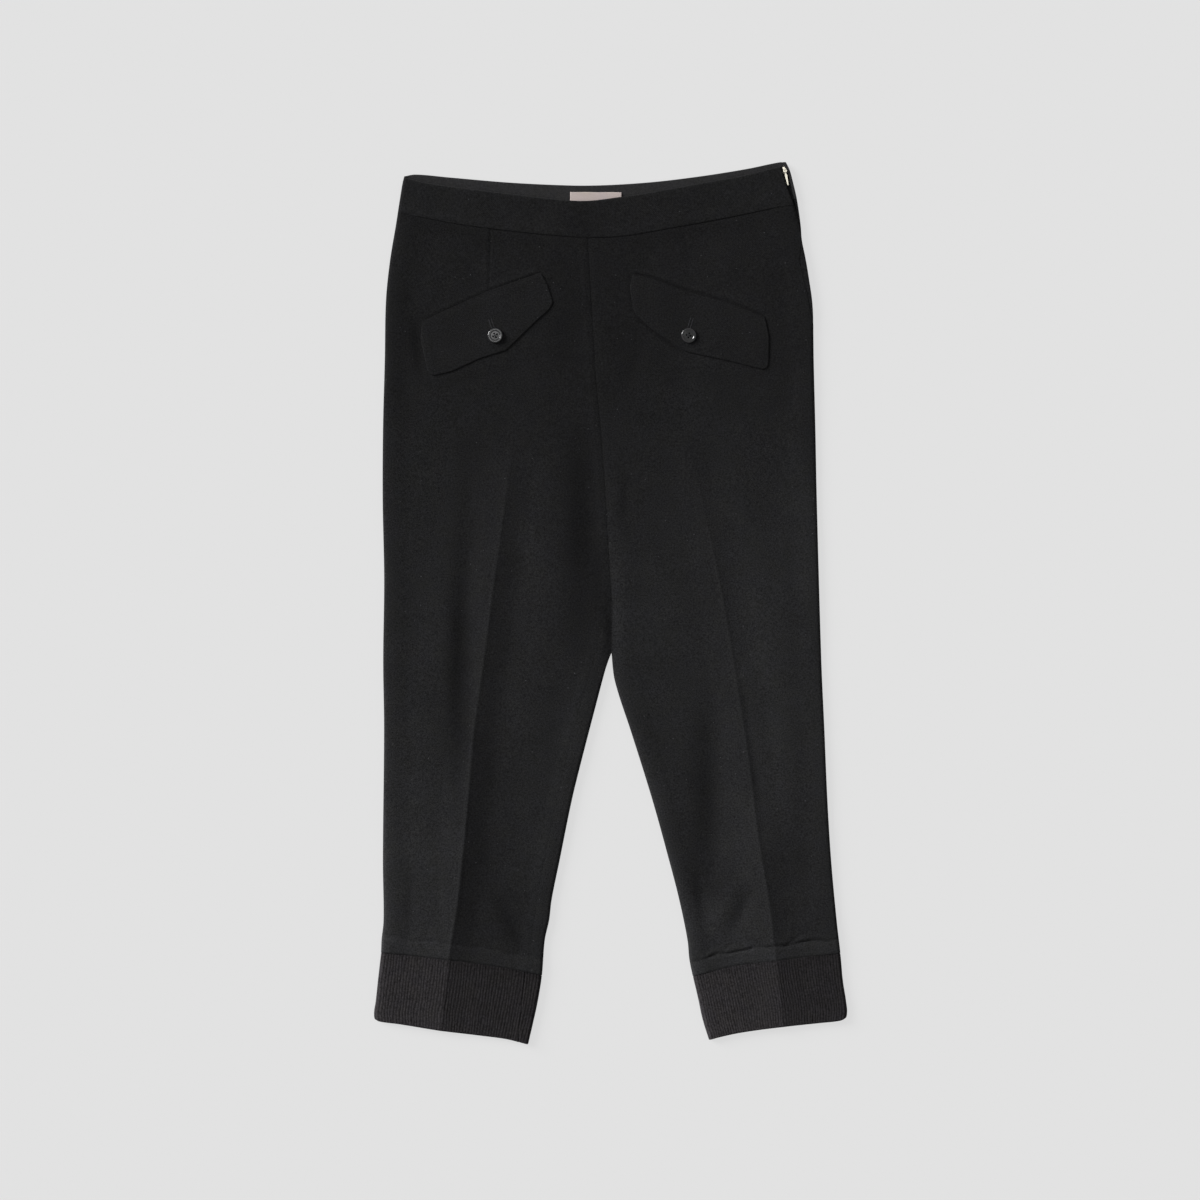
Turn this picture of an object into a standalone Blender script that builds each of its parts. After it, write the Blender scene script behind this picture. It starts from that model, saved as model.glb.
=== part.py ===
"""Cropped wool trousers with ribbed ankle cuffs, laid flat on a table with the front up.

Every cloth piece is a wall of its own, and the pieces meet at their seams with a small gap.
The pattern tables give millimetres on a 1.2 m square table, as the garment lies there:
across counts from the table's left edge, and down counts from its far edge.
Right and left are the wearer's, so the right leg has the smaller numbers across.
The part's own frame has +Z up, +Y towards the waist, and its origin under the middle.
"""

import math

import bmesh
import bpy
from mathutils import Matrix, Vector

MM = 0.001
TABLE_MIDDLE_ACROSS = 610.5
TABLE_MIDDLE_DOWN = 603.2

# Driving sizes, in millimetres
LEG_WALL = 1.5
BAND_WALL = 2.2
CUFF_WALL = 2.0
FLAP_WALL = 2.2
LABEL_WALL = 0.8
TAPE_WALL = 0.8
BAND_HEIGHT = 36.6
SEAM_GAP = 0.3
LAY_GAP = 0.4
CROTCH_DOWN = 653.0
FORK_DOWN = 603.0
SEAMS_MEET_DOWN = 600.0
HEM_DOWN = 953.0

# Heights of the outer faces above the table, in millimetres
LEG_LIE = 4.6
BAND_LIE = 6.2
CUFF_LIE = 5.3
ANKLE_STEP = 0.6
ANKLE_STRIP = 16.5
EDGE_ROLL = 3.5
EDGE_PUFF = 0.9
EDGE_PUFF_CREST = 7.0
EDGE_PUFF_REACH = 21.0
OPENING_LIE = 4.6
CENTRE_DIP = 0.5
CENTRE_DIP_WIDTH = 4.0
CREASE_HALF_WIDTH = 26.0
CREASE_CURL = 1.3

# How far below the waist seam, and above the hem, the rows of points still bend with them
WAIST_BLEND = 90.0
HEM_BLEND = 80.0

RIBS_ON_FRONT = 52
RIB_HEIGHT = 0.4

# Silhouette and seam lines that run down the legs: (down, across)
OUTER_RIGHT = [
    (174, 404.8), (182, 402.6), (200, 399.6), (225, 395.7), (260, 389.9), (300, 385.8),
    (360, 384.6), (430, 382.8), (500, 382.5), (580, 384.0), (660, 383.0), (730, 383.9),
    (860, 382.7), (920, 383.4), (940, 381.4), (953, 380.8), (980, 377.7), (1000, 375.5),
    (1014, 373.7), (1021, 374.6),
]
INNER_RIGHT = [
    (653, 611.35), (660, 608.6), (670, 605.3), (700, 597.3), (760, 581.7), (800, 571.9),
    (860, 559.7), (900, 551.6), (920, 549.2), (940, 544.8), (976, 541.9), (1000, 538.2),
    (1020, 533.9), (1045, 528.1),
]
INNER_LEFT = [
    (653, 611.65), (660, 612.1), (670, 613.0), (680, 614.6), (700, 620.4), (730, 630.5),
    (800, 652.4), (860, 669.0), (900, 679.3), (940, 687.5), (960, 689.5), (980, 693.7),
    (1000, 698.3), (1020, 702.7), (1041, 709.2),
]
OUTER_LEFT = [
    (162, 785.8), (170, 789.7), (180, 792.5), (200, 797.1), (225, 800.7), (240, 801.9),
    (260, 805.9), (280, 809.2), (300, 812.1), (320, 813.3), (360, 813.9), (430, 815.6),
    (500, 817.0), (660, 821.5), (730, 824.6), (800, 827.6), (860, 831.3), (920, 836.8),
    (955, 840.8), (980, 843.1), (1000, 846.3), (1012, 847.5), (1018, 846.6),
]
OPENING_EDGE = [
    (166, 780.8), (173, 783.0), (180, 784.9), (189, 788.0), (206, 794.4), (216, 797.2),
    (231, 800.2), (246, 800.4), (260, 799.5), (279, 803.0), (294, 807.0), (313, 810.5),
    (324, 813.3), (330, 813.5),
]
OPENING_END_DOWN = 324.0
CENTRE_FRONT = [
    (237, 587.3), (283, 590.0), (333, 593.0), (383, 596.0), (434, 601.0), (490, 605.0),
    (569, 609.6), (600, 611.4), (653, 611.5),
]
CENTRE_BACK = [(222, 596.0), (440, 603.0), (600, 610.6), (653, 611.5)]
INSEAM_RIGHT = [
    (600, 611.4), (603, 609.4), (608, 606.9), (615, 604.6), (627, 601.3), (643, 597.6),
    (657, 594.6), (673, 590.0), (690, 585.0), (760, 566.3), (860, 544.3), (920, 534.0),
    (976, 527.5),
]
INSEAM_LEFT = [
    (600, 611.6), (603, 613.4), (608, 617.2), (615, 620.6), (629, 625.6), (643, 631.2),
    (665, 637.4), (695, 644.5), (737, 655.7), (787, 668.4), (840, 683.0), (893, 695.8),
    (930, 702.4), (976, 708.2),
]
CREASE_RIGHT = [
    (213, 500.0), (300, 511.0), (430, 514.0), (483, 510.0), (532, 504.0), (594, 495.0),
    (661, 486.0), (729, 476.5), (821, 465.5), (900, 458.5), (953, 450.7), (1040, 439.5),
]
CREASE_LEFT = [
    (206, 694.0), (300, 687.0), (400, 684.0), (428, 685.5), (465, 694.0), (532, 713.0),
    (606, 728.0), (680, 740.0), (753, 752.5), (833, 762.0), (900, 769.5), (953, 775.4),
    (1030, 783.6),
]

# Height of the pressed crease over the cloth beside it: (down, height)
CREASE_HEIGHT = [(415, 0.0), (480, 1.0), (560, 1.8), (660, 2.3), (900, 2.4), (953, 1.9), (1040, 1.0)]

# Lines that run across the garment: (across, down)
FRONT_BAND_TOP = [
    (404, 177.0), (425, 182.5), (470, 189.0), (512, 194.0), (550, 198.6), (585, 200.8),
    (620, 196.9), (657, 191.0), (698, 183.5), (740, 176.0), (770, 168.6), (783, 165.5),
]
FRONT_BAND_SEAM = [
    (397, 213.0), (425, 218.0), (463, 225.0), (510, 231.0), (545, 234.7), (587, 237.8),
    (620, 236.5), (650, 232.0), (707, 221.7), (737, 216.0), (770, 209.0), (797, 205.0),
]
BACK_BAND_TOP = [
    (402, 176.4), (415, 174.0), (450, 177.0), (510, 182.1), (570, 184.9), (600, 184.8),
    (630, 183.3), (660, 180.8), (690, 177.2), (720, 172.9), (750, 167.8), (780, 161.7),
    (787, 162.2),
]
HEM_RIGHT = [(381, 952.7), (404, 955.0), (448, 960.0), (473, 963.0), (511, 969.0), (542, 975.5)]
HEM_LEFT = [(693, 976.0), (714, 971.0), (737, 965.5), (775, 961.0), (817, 955.5), (841, 953.0)]
CUFF_END_RIGHT = [
    (374, 1019.5), (380, 1021.8), (400, 1024.5), (440, 1030.8), (480, 1035.7), (505, 1039.0),
    (520, 1042.5), (529, 1045.0),
]
CUFF_END_LEFT = [
    (708, 1040.6), (720, 1037.3), (740, 1033.0), (780, 1027.4), (820, 1023.2), (840, 1020.9),
    (848, 1017.5),
]

# Flap outlines, one table for each side: (share of the side, across, down)
FLAP_RIGHT = {
    "seam": [(0, 422.0, 321.0), (0.5, 487.0, 291.5), (1, 541.0, 272.5)],
    "lower": [
        (0, 429.0, 377.0), (0.18, 452.0, 371.5), (0.42, 480.0, 358.5), (0.64, 506.0, 350.5),
        (0.85, 534.0, 323.0), (1, 554.0, 305.0),
    ],
    "left": [(0, 422.0, 321.0), (0.35, 420.7, 340.0), (1, 429.0, 377.0)],
    "right": [(0, 541.0, 272.5), (0.35, 547.5, 284.5), (1, 554.0, 305.0)],
    "columns": (0, 0.03, 0.18, 0.3, 0.42, 0.53, 0.64, 0.75, 0.85, 0.97, 1),
}
FLAP_LEFT = {
    "seam": [(0, 633.0, 273.5), (0.15, 653.0, 277.5), (0.4, 685.0, 289.5), (0.7, 728.0, 301.0),
             (1, 765.0, 316.0)],
    "lower": [(0, 633.0, 311.5), (0.15, 652.0, 329.3), (0.4, 685.0, 351.5), (0.45, 692.0, 353.5),
              (0.7, 728.0, 361.0), (1, 768.5, 371.0)],
    "left": [(0, 633.0, 273.5), (0.35, 629.9, 287.0), (1, 633.0, 311.5)],
    "right": [(0, 765.0, 316.0), (0.35, 769.3, 337.0), (1, 768.5, 371.0)],
    "columns": (0, 0.03, 0.15, 0.28, 0.4, 0.45, 0.58, 0.7, 0.85, 0.97, 1),
}
FLAP_ROWS = (0, 0.04, 0.25, 0.5, 0.75, 0.96, 1)
FLAP_EDGE_DROP = 0.5

# Buttons: centre across and down, and the sizes of a four-hole button
BUTTON_RIGHT = (495.3, 335.7)
BUTTON_LEFT = (688.7, 335.6)
BUTTON_RADIUS = 7.6
BUTTON_THICK = 2.6
BUTTON_WELL_RADIUS = 4.9
BUTTON_WELL_DEPTH = 0.7
BUTTON_HOLE_RADIUS = 0.85
BUTTON_HOLE_OFFSET = 1.45

# Woven label inside the back waistband: corners across and down
LABEL_LEFT = 570.0
LABEL_RIGHT = 621.5
LABEL_TOP_LEFT_DOWN = 191.7
LABEL_TOP_RIGHT_DOWN = 192.0
LABEL_HEIGHT = 16.0

# Side zip: the pull tab's hinge point, its lie, and the sizes of slider and tab
TAPE_TOP_DOWN = 168.5
TAPE_END_DOWN = 318.0
TAPE_WIDTH = 11.0
PULL_HINGE = (785.2, 171.6, 5.0)
PULL_LEAN = math.radians(12)
PIN_RADIUS = 0.45
PIN_HOLE_RADIUS = 0.78
KNUCKLE_RADIUS = 1.2
KNUCKLE_WIDTH = 1.5
LUG_WIDTH = 0.6
LUG_INNER = 1.05
SLIDER_LENGTH = 4.2
SLIDER_LOW = 3.75
SLIDER_HIGH = 5.6
SLIDER_START = 1.7
PULL_LENGTH = 14.0
PULL_WIDTH = 2.4
PULL_THICK = 0.8

# Cloth colours are near black with a cool cast; the knit is a little browner
WOOL_COLOUR = (0.0145, 0.0145, 0.0155, 1)
KNIT_COLOUR = (0.019, 0.016, 0.016, 1)
LABEL_COLOUR = (0.36, 0.29, 0.27, 1)
BUTTON_COLOUR = (0.02, 0.02, 0.021, 1)
TAPE_COLOUR = (0.012, 0.012, 0.012, 1)
PULL_COLOUR = (0.80, 0.76, 0.64, 1)


def smooth(table, at):
    """Reads a two-column table at a value, along a smooth curve through its rows."""
    last = len(table) - 1
    if at <= table[0][0]:
        return table[0][1]
    if at >= table[last][0]:
        return table[last][1]
    row = max(i for i in range(last) if table[i][0] <= at)

    def slope(i):
        before = table[max(i - 1, 0)]
        after = table[min(i + 1, last)]
        return (after[1] - before[1]) / (after[0] - before[0])

    start, low = table[row]
    end, high = table[row + 1]
    span = end - start
    s = (at - start) / span
    bend = s * s * (3 - 2 * s)
    leave = s * (1 - s) * (1 - s) * slope(row) * span
    arrive = s * s * (s - 1) * slope(row + 1) * span
    return low + (high - low) * bend + leave + arrive


def along(table, share):
    """Reads a (share, across, down) table at a share, along straight runs."""
    for (s0, a0, d0), (s1, a1, d1) in zip(table, table[1:]):
        if share <= s1:
            k = (share - s0) / (s1 - s0)
            return Vector((a0 + (a1 - a0) * k, d0 + (d1 - d0) * k))
    return Vector(table[-1][1:])


def ease(value):
    """Rises softly from 0 to 1 as the value does."""
    value = min(max(value, 0.0), 1.0)
    return value * value * (3 - 2 * value)


def mix(low, high, share):
    return low + (high - low) * share


def place(across, down, height):
    """Turns a spot on the table, in millimetres, into the part's frame, in metres."""
    x = (across - TABLE_MIDDLE_ACROSS) * MM
    y = (TABLE_MIDDLE_DOWN - down) * MM
    return Vector((x, y, height * MM))


class Leg:
    """The lines of one leg, with a sign that points from its outer edge to its inner edge."""

    def __init__(self, side):
        right = side == "right"
        self.side = side
        self.inward = 1 if right else -1
        self.outer = OUTER_RIGHT if right else OUTER_LEFT
        self.inner = INNER_RIGHT if right else INNER_LEFT
        self.inseam = INSEAM_RIGHT if right else INSEAM_LEFT
        self.crease = CREASE_RIGHT if right else CREASE_LEFT
        self.hem = HEM_RIGHT if right else HEM_LEFT
        self.cuff_end = CUFF_END_RIGHT if right else CUFF_END_LEFT

    def front_outer(self, down):
        """The front's outer edge, which leaves the silhouette along the zip opening."""
        if self.side == "left" and down < OPENING_END_DOWN + 5:
            return smooth(OPENING_EDGE, down)
        return smooth(self.outer, down)

    def front_inner(self, down):
        """The front's inner edge: the centre front, then the inseam."""
        if down < SEAMS_MEET_DOWN:
            return smooth(CENTRE_FRONT, down)
        return smooth(self.inseam, down)

    def lie(self, across, down):
        """Height of the front's outer face, before its edges roll down."""
        from_outer = abs(across - smooth(self.outer, down))
        inner = smooth(self.inner, max(down, CROTCH_DOWN))
        from_inner = math.hypot(across - inner, max(0.0, CROTCH_DOWN - down))
        height = LEG_LIE + EDGE_PUFF * (puff(from_outer) + puff(from_inner))
        from_crease = abs(across - smooth(self.crease, down)) / CREASE_HALF_WIDTH
        height += smooth(CREASE_HEIGHT, down) * max(0.0, 1 - from_crease) ** CREASE_CURL
        below_strip = down - (smooth(self.hem, across) - ANKLE_STRIP)
        height += ANKLE_STEP * ease(below_strip / 2 + 0.5)
        if down < CROTCH_DOWN:
            from_centre = across - smooth(CENTRE_FRONT, down)
            height -= CENTRE_DIP * math.exp(-(from_centre / CENTRE_DIP_WIDTH) ** 2)
        return height


def puff(distance):
    """The soft swell of the cloth beside a folded edge, 1 at its crest."""
    return max(0.0, 1 - ((distance - EDGE_PUFF_CREST) / EDGE_PUFF_REACH) ** 2) ** 2


def level_down(level, across, top, hem):
    """Bends a straight row so that it follows the top seam and the hem near them."""
    top_level = top["level"]
    hem_level = hem["level"]
    from_top = 1 - ease((level - top_level) / WAIST_BLEND)
    from_hem = 1 - ease((hem_level - level) / HEM_BLEND)
    bow = (smooth(top["line"], across) - top_level) * from_top
    return level + bow + (smooth(hem["line"], across) - hem_level) * from_hem


def settle(station, level, top, hem):
    """Finds where a column and a bent row cross."""
    down = level
    for _ in range(4):
        down = level_down(level, station(down), top, hem)
    return station(down), down


# Meshes, modifiers and materials

def new_collection(name):
    collection = bpy.data.collections.new(name)
    bpy.context.scene.collection.children.link(collection)
    return collection


def new_material(name, colour, roughness, metallic=0.0):
    material = bpy.data.materials.new(name)
    material.use_nodes = True
    shader = material.node_tree.nodes["Principled BSDF"]
    shader.inputs["Base Color"].default_value = colour
    shader.inputs["Roughness"].default_value = roughness
    shader.inputs["Metallic"].default_value = metallic
    return material


def new_object(name, mesh, material, collection):
    item = bpy.data.objects.new(name, mesh)
    collection.objects.link(item)
    mesh.materials.clear()
    mesh.materials.append(material)
    return item


def mapped_grid(columns, rows, spot, keep=None):
    """A grid with one point for each column and row, moved to spot(column, row)."""
    grid = bmesh.new()
    bmesh.ops.create_grid(grid, x_segments=columns - 1, y_segments=rows - 1, size=1)
    column_mark = grid.verts.layers.int.new("column")
    row_mark = grid.verts.layers.int.new("row")
    unwanted = []
    for point in grid.verts:
        column = round((point.co.x + 1) / 2 * (columns - 1))
        row = round((point.co.y + 1) / 2 * (rows - 1))
        point[column_mark] = column
        point[row_mark] = row
        if keep and not keep(column, row):
            unwanted.append(point)
        else:
            point.co = place(*spot(column, row))
    bmesh.ops.delete(grid, geom=unwanted, context="VERTS")
    return grid


def face_out(grid, up):
    """Turns an open sheet so that most of it faces up, or down."""
    grid.normal_update()
    lift = sum(face.normal.z * face.calc_area() for face in grid.faces)
    if (lift > 0) != up:
        bmesh.ops.reverse_faces(grid, faces=grid.faces)


def cloth(name, grid, wall, material, collection, up=True, rims=None, inside=None):
    """A cloth piece: an open sheet thickened inwards from its outer face.

    rims(column, row) names the axes along which a point's inner side stays level with its
    outer side, so that the piece's rim faces its neighbour squarely across the seam.
    inside(column, row) gives a point's inner side outright where a fold is tighter than the
    wall is thick, or None.
    """
    face_out(grid, up)
    columns = grid.verts.layers.int["column"]
    rows = grid.verts.layers.int["row"]
    marks = [(point[columns], point[rows]) for point in grid.verts]
    sheet = bpy.data.meshes.new("sheet")
    grid.to_mesh(sheet)
    grid.free()
    drawn = new_object("sheet", sheet, material, collection)
    thicken(drawn, wall)
    solid = evaluated_mesh(drawn)
    bpy.data.objects.remove(drawn)
    if rims:
        for index, (column, row) in enumerate(marks):
            outer = solid.vertices[index].co
            inner = solid.vertices[index + len(marks)].co
            for axis in rims(column, row):
                setattr(inner, axis, getattr(outer, axis))
    if inside:
        for index, (column, row) in enumerate(marks):
            within = inside(column, row)
            if within:
                solid.vertices[index + len(marks)].co = place(*within)
    solid.shade_smooth()
    solid.set_sharp_from_angle(angle=math.radians(50))
    return new_object(name, solid, material, collection)


def thicken(item, wall):
    solidify = item.modifiers.new("Wall", "SOLIDIFY")
    solidify.thickness = wall * MM
    solidify.offset = -1
    solidify.use_even_offset = False


def evaluated_mesh(item):
    graph = bpy.context.evaluated_depsgraph_get()
    return bpy.data.meshes.new_from_object(item.evaluated_get(graph))


def add_boolean(item, other, operation):
    boolean = item.modifiers.new(other.name, "BOOLEAN")
    boolean.operation = operation
    boolean.solver = "EXACT"
    boolean.object = other


def as_cutter(item):
    item.hide_render = True
    item.display_type = "WIRE"


# Rows that the front and back panels share from the fork down, so that their inseams agree
LEG_LEVELS = (608, 616, 628, 641, CROTCH_DOWN, 657, 664, 674, 685, 697, 712, 740, 780, 820, 860,
              895, 920)

# Rolled edges: how far in from the edge, and what share of the height, at each step
ROLL_STEPS = [(1 - math.cos(math.radians(a)), math.sin(math.radians(a))) for a in (0, 30, 60, 90)]


def front_panel(leg, material, collection):
    """A front leg panel, from the waist seam to the ankle, with its pressed crease."""
    top = {"line": FRONT_BAND_SEAM, "level": 213.0 if leg.side == "right" else 205.0}
    hem = {"line": leg.hem, "level": smooth(leg.hem, smooth(leg.outer, HEM_DOWN))}
    first = top["level"] + SEAM_GAP / 2
    last = hem["level"] - SEAM_GAP / 2
    strip = hem["level"] - ANKLE_STRIP
    levels = [first, 224, 240, 262, 290, 318, 330, 360, 395, 430, 465, 500, 535, 568, 596, 600.5,
              603.5, *LEG_LEVELS, strip - 1, strip + 1, last - 5, last]
    stations = []
    for inset, _ in ROLL_STEPS:
        stations.append(lambda down, e=inset * EDGE_ROLL: leg.front_outer(down) + leg.inward * e)
    for inset in (8, 16):
        stations.append(lambda down, e=inset: leg.front_outer(down) + leg.inward * e)

    def crease(offset):
        return lambda down: smooth(leg.crease, down) + leg.inward * offset

    def seam(inset):
        return lambda down: leg.front_inner(down) - leg.inward * (inset + SEAM_GAP / 2)

    def between(first_station, second_station, share):
        return lambda down: mix(first_station(down), second_station(down), share)

    stations += [between(stations[-1], crease(-26), share) for share in (0.33, 0.67)]
    stations += [crease(offset) for offset in (-26, -14, -5, 0, 5, 14, 26)]
    stations += [between(crease(26), seam(16), share) for share in (0.33, 0.67)]
    stations += [seam(inset) for inset in (16, 8, 3, 0)]

    def spot(column, row):
        level = levels[len(levels) - 1 - row]
        across, down = settle(stations[column], level, top, hem)
        height = leg.lie(across, down)
        if column < len(ROLL_STEPS):
            sewn = LEG_LIE / 2 + EDGE_PUFF / 2 + SEAM_GAP / 2
            low = sewn
            if leg.side == "left":
                low = mix(OPENING_LIE, sewn, ease((down - OPENING_END_DOWN + 4) / 12))
            height = mix(low, height, ROLL_STEPS[column][1])
        return across, down, height

    def rims(column, row):
        level = levels[len(levels) - 1 - row]
        axes = "y" if row in (0, len(levels) - 1) else ""
        if column == 0:
            opening = leg.side == "left" and level < OPENING_END_DOWN
            return axes + ("x" if opening else "z")
        return axes + ("x" if column == len(stations) - 1 else "")

    grid = mapped_grid(len(stations), len(levels), spot)
    return cloth("front_" + leg.side, grid, LEG_WALL, material, collection, rims=rims)


def fold_roll(down):
    """Radius of the fold along the inner leg, which closes up at the crotch."""
    return EDGE_ROLL * ease((down - CROTCH_DOWN) / 40)


def back_panel(leg, material, collection):
    """A back leg panel: flat underneath, folded round the inner leg, up to the inseam."""
    band_end = smooth(BACK_BAND_TOP, smooth(leg.outer, 200)) + BAND_HEIGHT
    seam_line = [(across, down + BAND_HEIGHT) for across, down in BACK_BAND_TOP]
    top = {"line": seam_line, "level": band_end}
    hem = {"line": leg.hem, "level": smooth(leg.hem, smooth(leg.outer, HEM_DOWN))}
    first = top["level"] + SEAM_GAP / 2
    last = hem["level"] - SEAM_GAP / 2
    strip = hem["level"] - ANKLE_STRIP
    levels = [first, 235, 262, 290, 318, 360, 430, 500, 560, FORK_DOWN, *LEG_LEVELS,
              strip - 1, strip + 1, last - 5, last]
    side_columns = len(ROLL_STEPS)
    flat_shares = [i / 7 for i in range(1, 7)]
    fold_start = side_columns + len(flat_shares)
    fold_angles = (90, 60, 30, 0, -30, -60, -90)
    strip_start = fold_start + len(fold_angles)
    strip_shares = (0.33, 0.67, 1.0)
    columns = strip_start + len(strip_shares)
    edge_height = LEG_LIE / 2 + EDGE_PUFF / 2

    def inner_edge(down):
        if down <= CROTCH_DOWN:
            return smooth(CENTRE_BACK, down) - leg.inward * SEAM_GAP / 2
        return smooth(leg.inner, down)

    def outer_edge(down):
        return smooth(leg.outer, down)

    def fold_edge(down):
        if down <= CROTCH_DOWN:
            return smooth(CENTRE_FRONT, down) - leg.inward * SEAM_GAP / 2
        return smooth(leg.inner, down)

    def spot(column, row):
        level = levels[len(levels) - 1 - row]
        if column < side_columns:
            inset, share = ROLL_STEPS[column]
            across, down = settle(
                lambda d: outer_edge(d) + leg.inward * inset * EDGE_ROLL, level, top, hem)
            return across, down, (edge_height - SEAM_GAP / 2) * (1 - share)
        if column < fold_start:
            share = flat_shares[column - side_columns]

            def flat_station(d):
                start = outer_edge(d) + leg.inward * EDGE_ROLL
                end = inner_edge(d) - leg.inward * fold_roll(d)
                return mix(start, end, share)

            across, down = settle(flat_station, level, top, hem)
            return across, down, 0.0
        if column < strip_start:
            angle = math.radians(fold_angles[column - fold_start])
            below = angle >= 0
            edge = inner_edge if below else fold_edge
            across, down = settle(
                lambda d: edge(d) - leg.inward * fold_roll(d) * (1 - math.cos(angle)),
                level, top, hem)
            if below:
                return across, down, edge_height * (1 - math.sin(angle))
            return across, down, mix(edge_height, leg.lie(across, down), -math.sin(angle))
        share = strip_shares[column - strip_start]

        def strip_station(d):
            start = fold_edge(d) - leg.inward * fold_roll(d)
            end = smooth(leg.inseam, d) + leg.inward * SEAM_GAP / 2
            return mix(start, end, share)

        across, down = settle(strip_station, level, top, hem)
        return across, down, leg.lie(across, down)

    def keep(column, row):
        """Above the crotch the back ends at its centre seam, and the strip at its own."""
        level = levels[len(levels) - 1 - row]
        if level >= CROTCH_DOWN or column <= fold_start:
            return True
        return level >= FORK_DOWN and column >= strip_start - 1

    def rims(column, row):
        axes = "y" if row in (0, len(levels) - 1) else ""
        return axes + ("z" if column == 0 else "")

    def inside(column, row):
        """The inner side of the flat, the fold and the strip, a wall's thickness away."""
        if column < side_columns:
            return None
        across, down, height = spot(column, row)
        if column < fold_start or column == fold_start and down < CROTCH_DOWN:
            return across, down, LEG_WALL
        if column >= strip_start or down < CROTCH_DOWN:
            return across, down, height - LEG_WALL
        angle = math.radians(fold_angles[column - fold_start])
        bend = max(fold_roll(down) - LEG_WALL, 0) * (1 - math.cos(angle))
        across = inner_edge(down) - leg.inward * (LEG_WALL + bend)
        if angle >= 0:
            return across, down, mix(edge_height, LEG_WALL, math.sin(angle))
        return across, down, mix(edge_height, leg.lie(across, down) - LEG_WALL, -math.sin(angle))

    grid = mapped_grid(columns, len(levels), spot, keep)
    return cloth("back_" + leg.side, grid, LEG_WALL, material, collection, up=False, rims=rims,
                 inside=inside)


def cuff(leg, material, collection):
    """A ribbed ankle cuff: a flattened tube whose ribs stand up outside a plain inside."""
    ribs = RIBS_ON_FRONT
    angles = (0, 30, 60, 90)
    under_shares = [i / 7 for i in range(1, 7)]
    top_shares = [i / (2 * ribs) for i in range(1, 2 * ribs)]
    around = []
    for angle in angles:
        around.append(("outer", angle, 0.0))
    for share in under_shares:
        around.append(("under", 0, share))
    for angle in reversed(angles):
        around.append(("inner", angle, 0.0))
    for angle in angles[1:]:
        around.append(("inner", -angle, 0.0))
    for share in reversed(top_shares):
        around.append(("top", 0, share))
    for angle in reversed(angles):
        around.append(("outer", -angle, 0.0))
    heights = (0.0, 0.03, 0.95, 1.0)
    middle = CUFF_LIE / 2

    def spot(column, row):
        kind, angle, share = around[column]
        tall = heights[len(heights) - 1 - row]

        def station(down):
            outer = smooth(leg.outer, down)
            inner = smooth(leg.inner, down)
            reach = EDGE_ROLL * (1 - math.cos(math.radians(angle)))
            if kind == "outer":
                return outer + leg.inward * reach
            if kind == "inner":
                return inner - leg.inward * reach
            return mix(outer + leg.inward * EDGE_ROLL, inner - leg.inward * EDGE_ROLL, share)

        down = HEM_DOWN
        for _ in range(5):
            across = station(down)
            start = smooth(leg.hem, across) + SEAM_GAP / 2
            down = mix(start, smooth(leg.cuff_end, across), tall)
        across = station(down)
        from_crease = abs(across - smooth(leg.crease, down)) / CREASE_HALF_WIDTH
        crease = smooth(CREASE_HEIGHT, down) * max(0.0, 1 - from_crease) ** CREASE_CURL
        lie = CUFF_LIE + crease
        if kind == "under":
            return across, down, 0.0
        if kind == "top":
            return across, down, lie
        lift = math.sin(math.radians(abs(angle)))
        if angle < 0:
            return across, down, mix(middle, lie, lift)
        return across, down, middle * (1 - lift)

    grid = mapped_grid(len(around), len(heights), spot)
    first_top = around.index(("top", 0, top_shares[-1]))
    column_mark = grid.verts.layers.int["column"]
    bmesh.ops.remove_doubles(grid, verts=grid.verts, dist=0.01 * MM)
    face_away(grid)
    grid.verts.index_update()
    crests = []
    for point in grid.verts:
        step = point[column_mark] - first_top
        if 0 <= step < len(top_shares) and step % 2 == 0:
            crests.append(point.index)
    mesh = bpy.data.meshes.new("cuff_plain")
    grid.to_mesh(mesh)
    grid.free()
    plain = new_object("cuff_plain", mesh, material, collection)
    thicken(plain, CUFF_WALL)
    ribbed = evaluated_mesh(plain)
    bpy.data.objects.remove(plain)
    points = ribbed.vertices
    outer_count = len(points) // 2
    for index in range(outer_count):
        points[index + outer_count].co.y = points[index].co.y
    for index in crests:
        points[index].co.z += RIB_HEIGHT * MM
    return new_object("cuff_" + leg.side, ribbed, material, collection)


def face_away(grid):
    """Turns a closed ring so that its faces point away from its middle."""
    grid.normal_update()
    middle = sum((point.co for point in grid.verts), Vector()) / len(grid.verts)
    lift = 0.0
    for face in grid.faces:
        lift += face.normal.z * (face.calc_center_median().z - middle.z) * face.calc_area()
    if lift < 0:
        bmesh.ops.reverse_faces(grid, faces=grid.faces)


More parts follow.
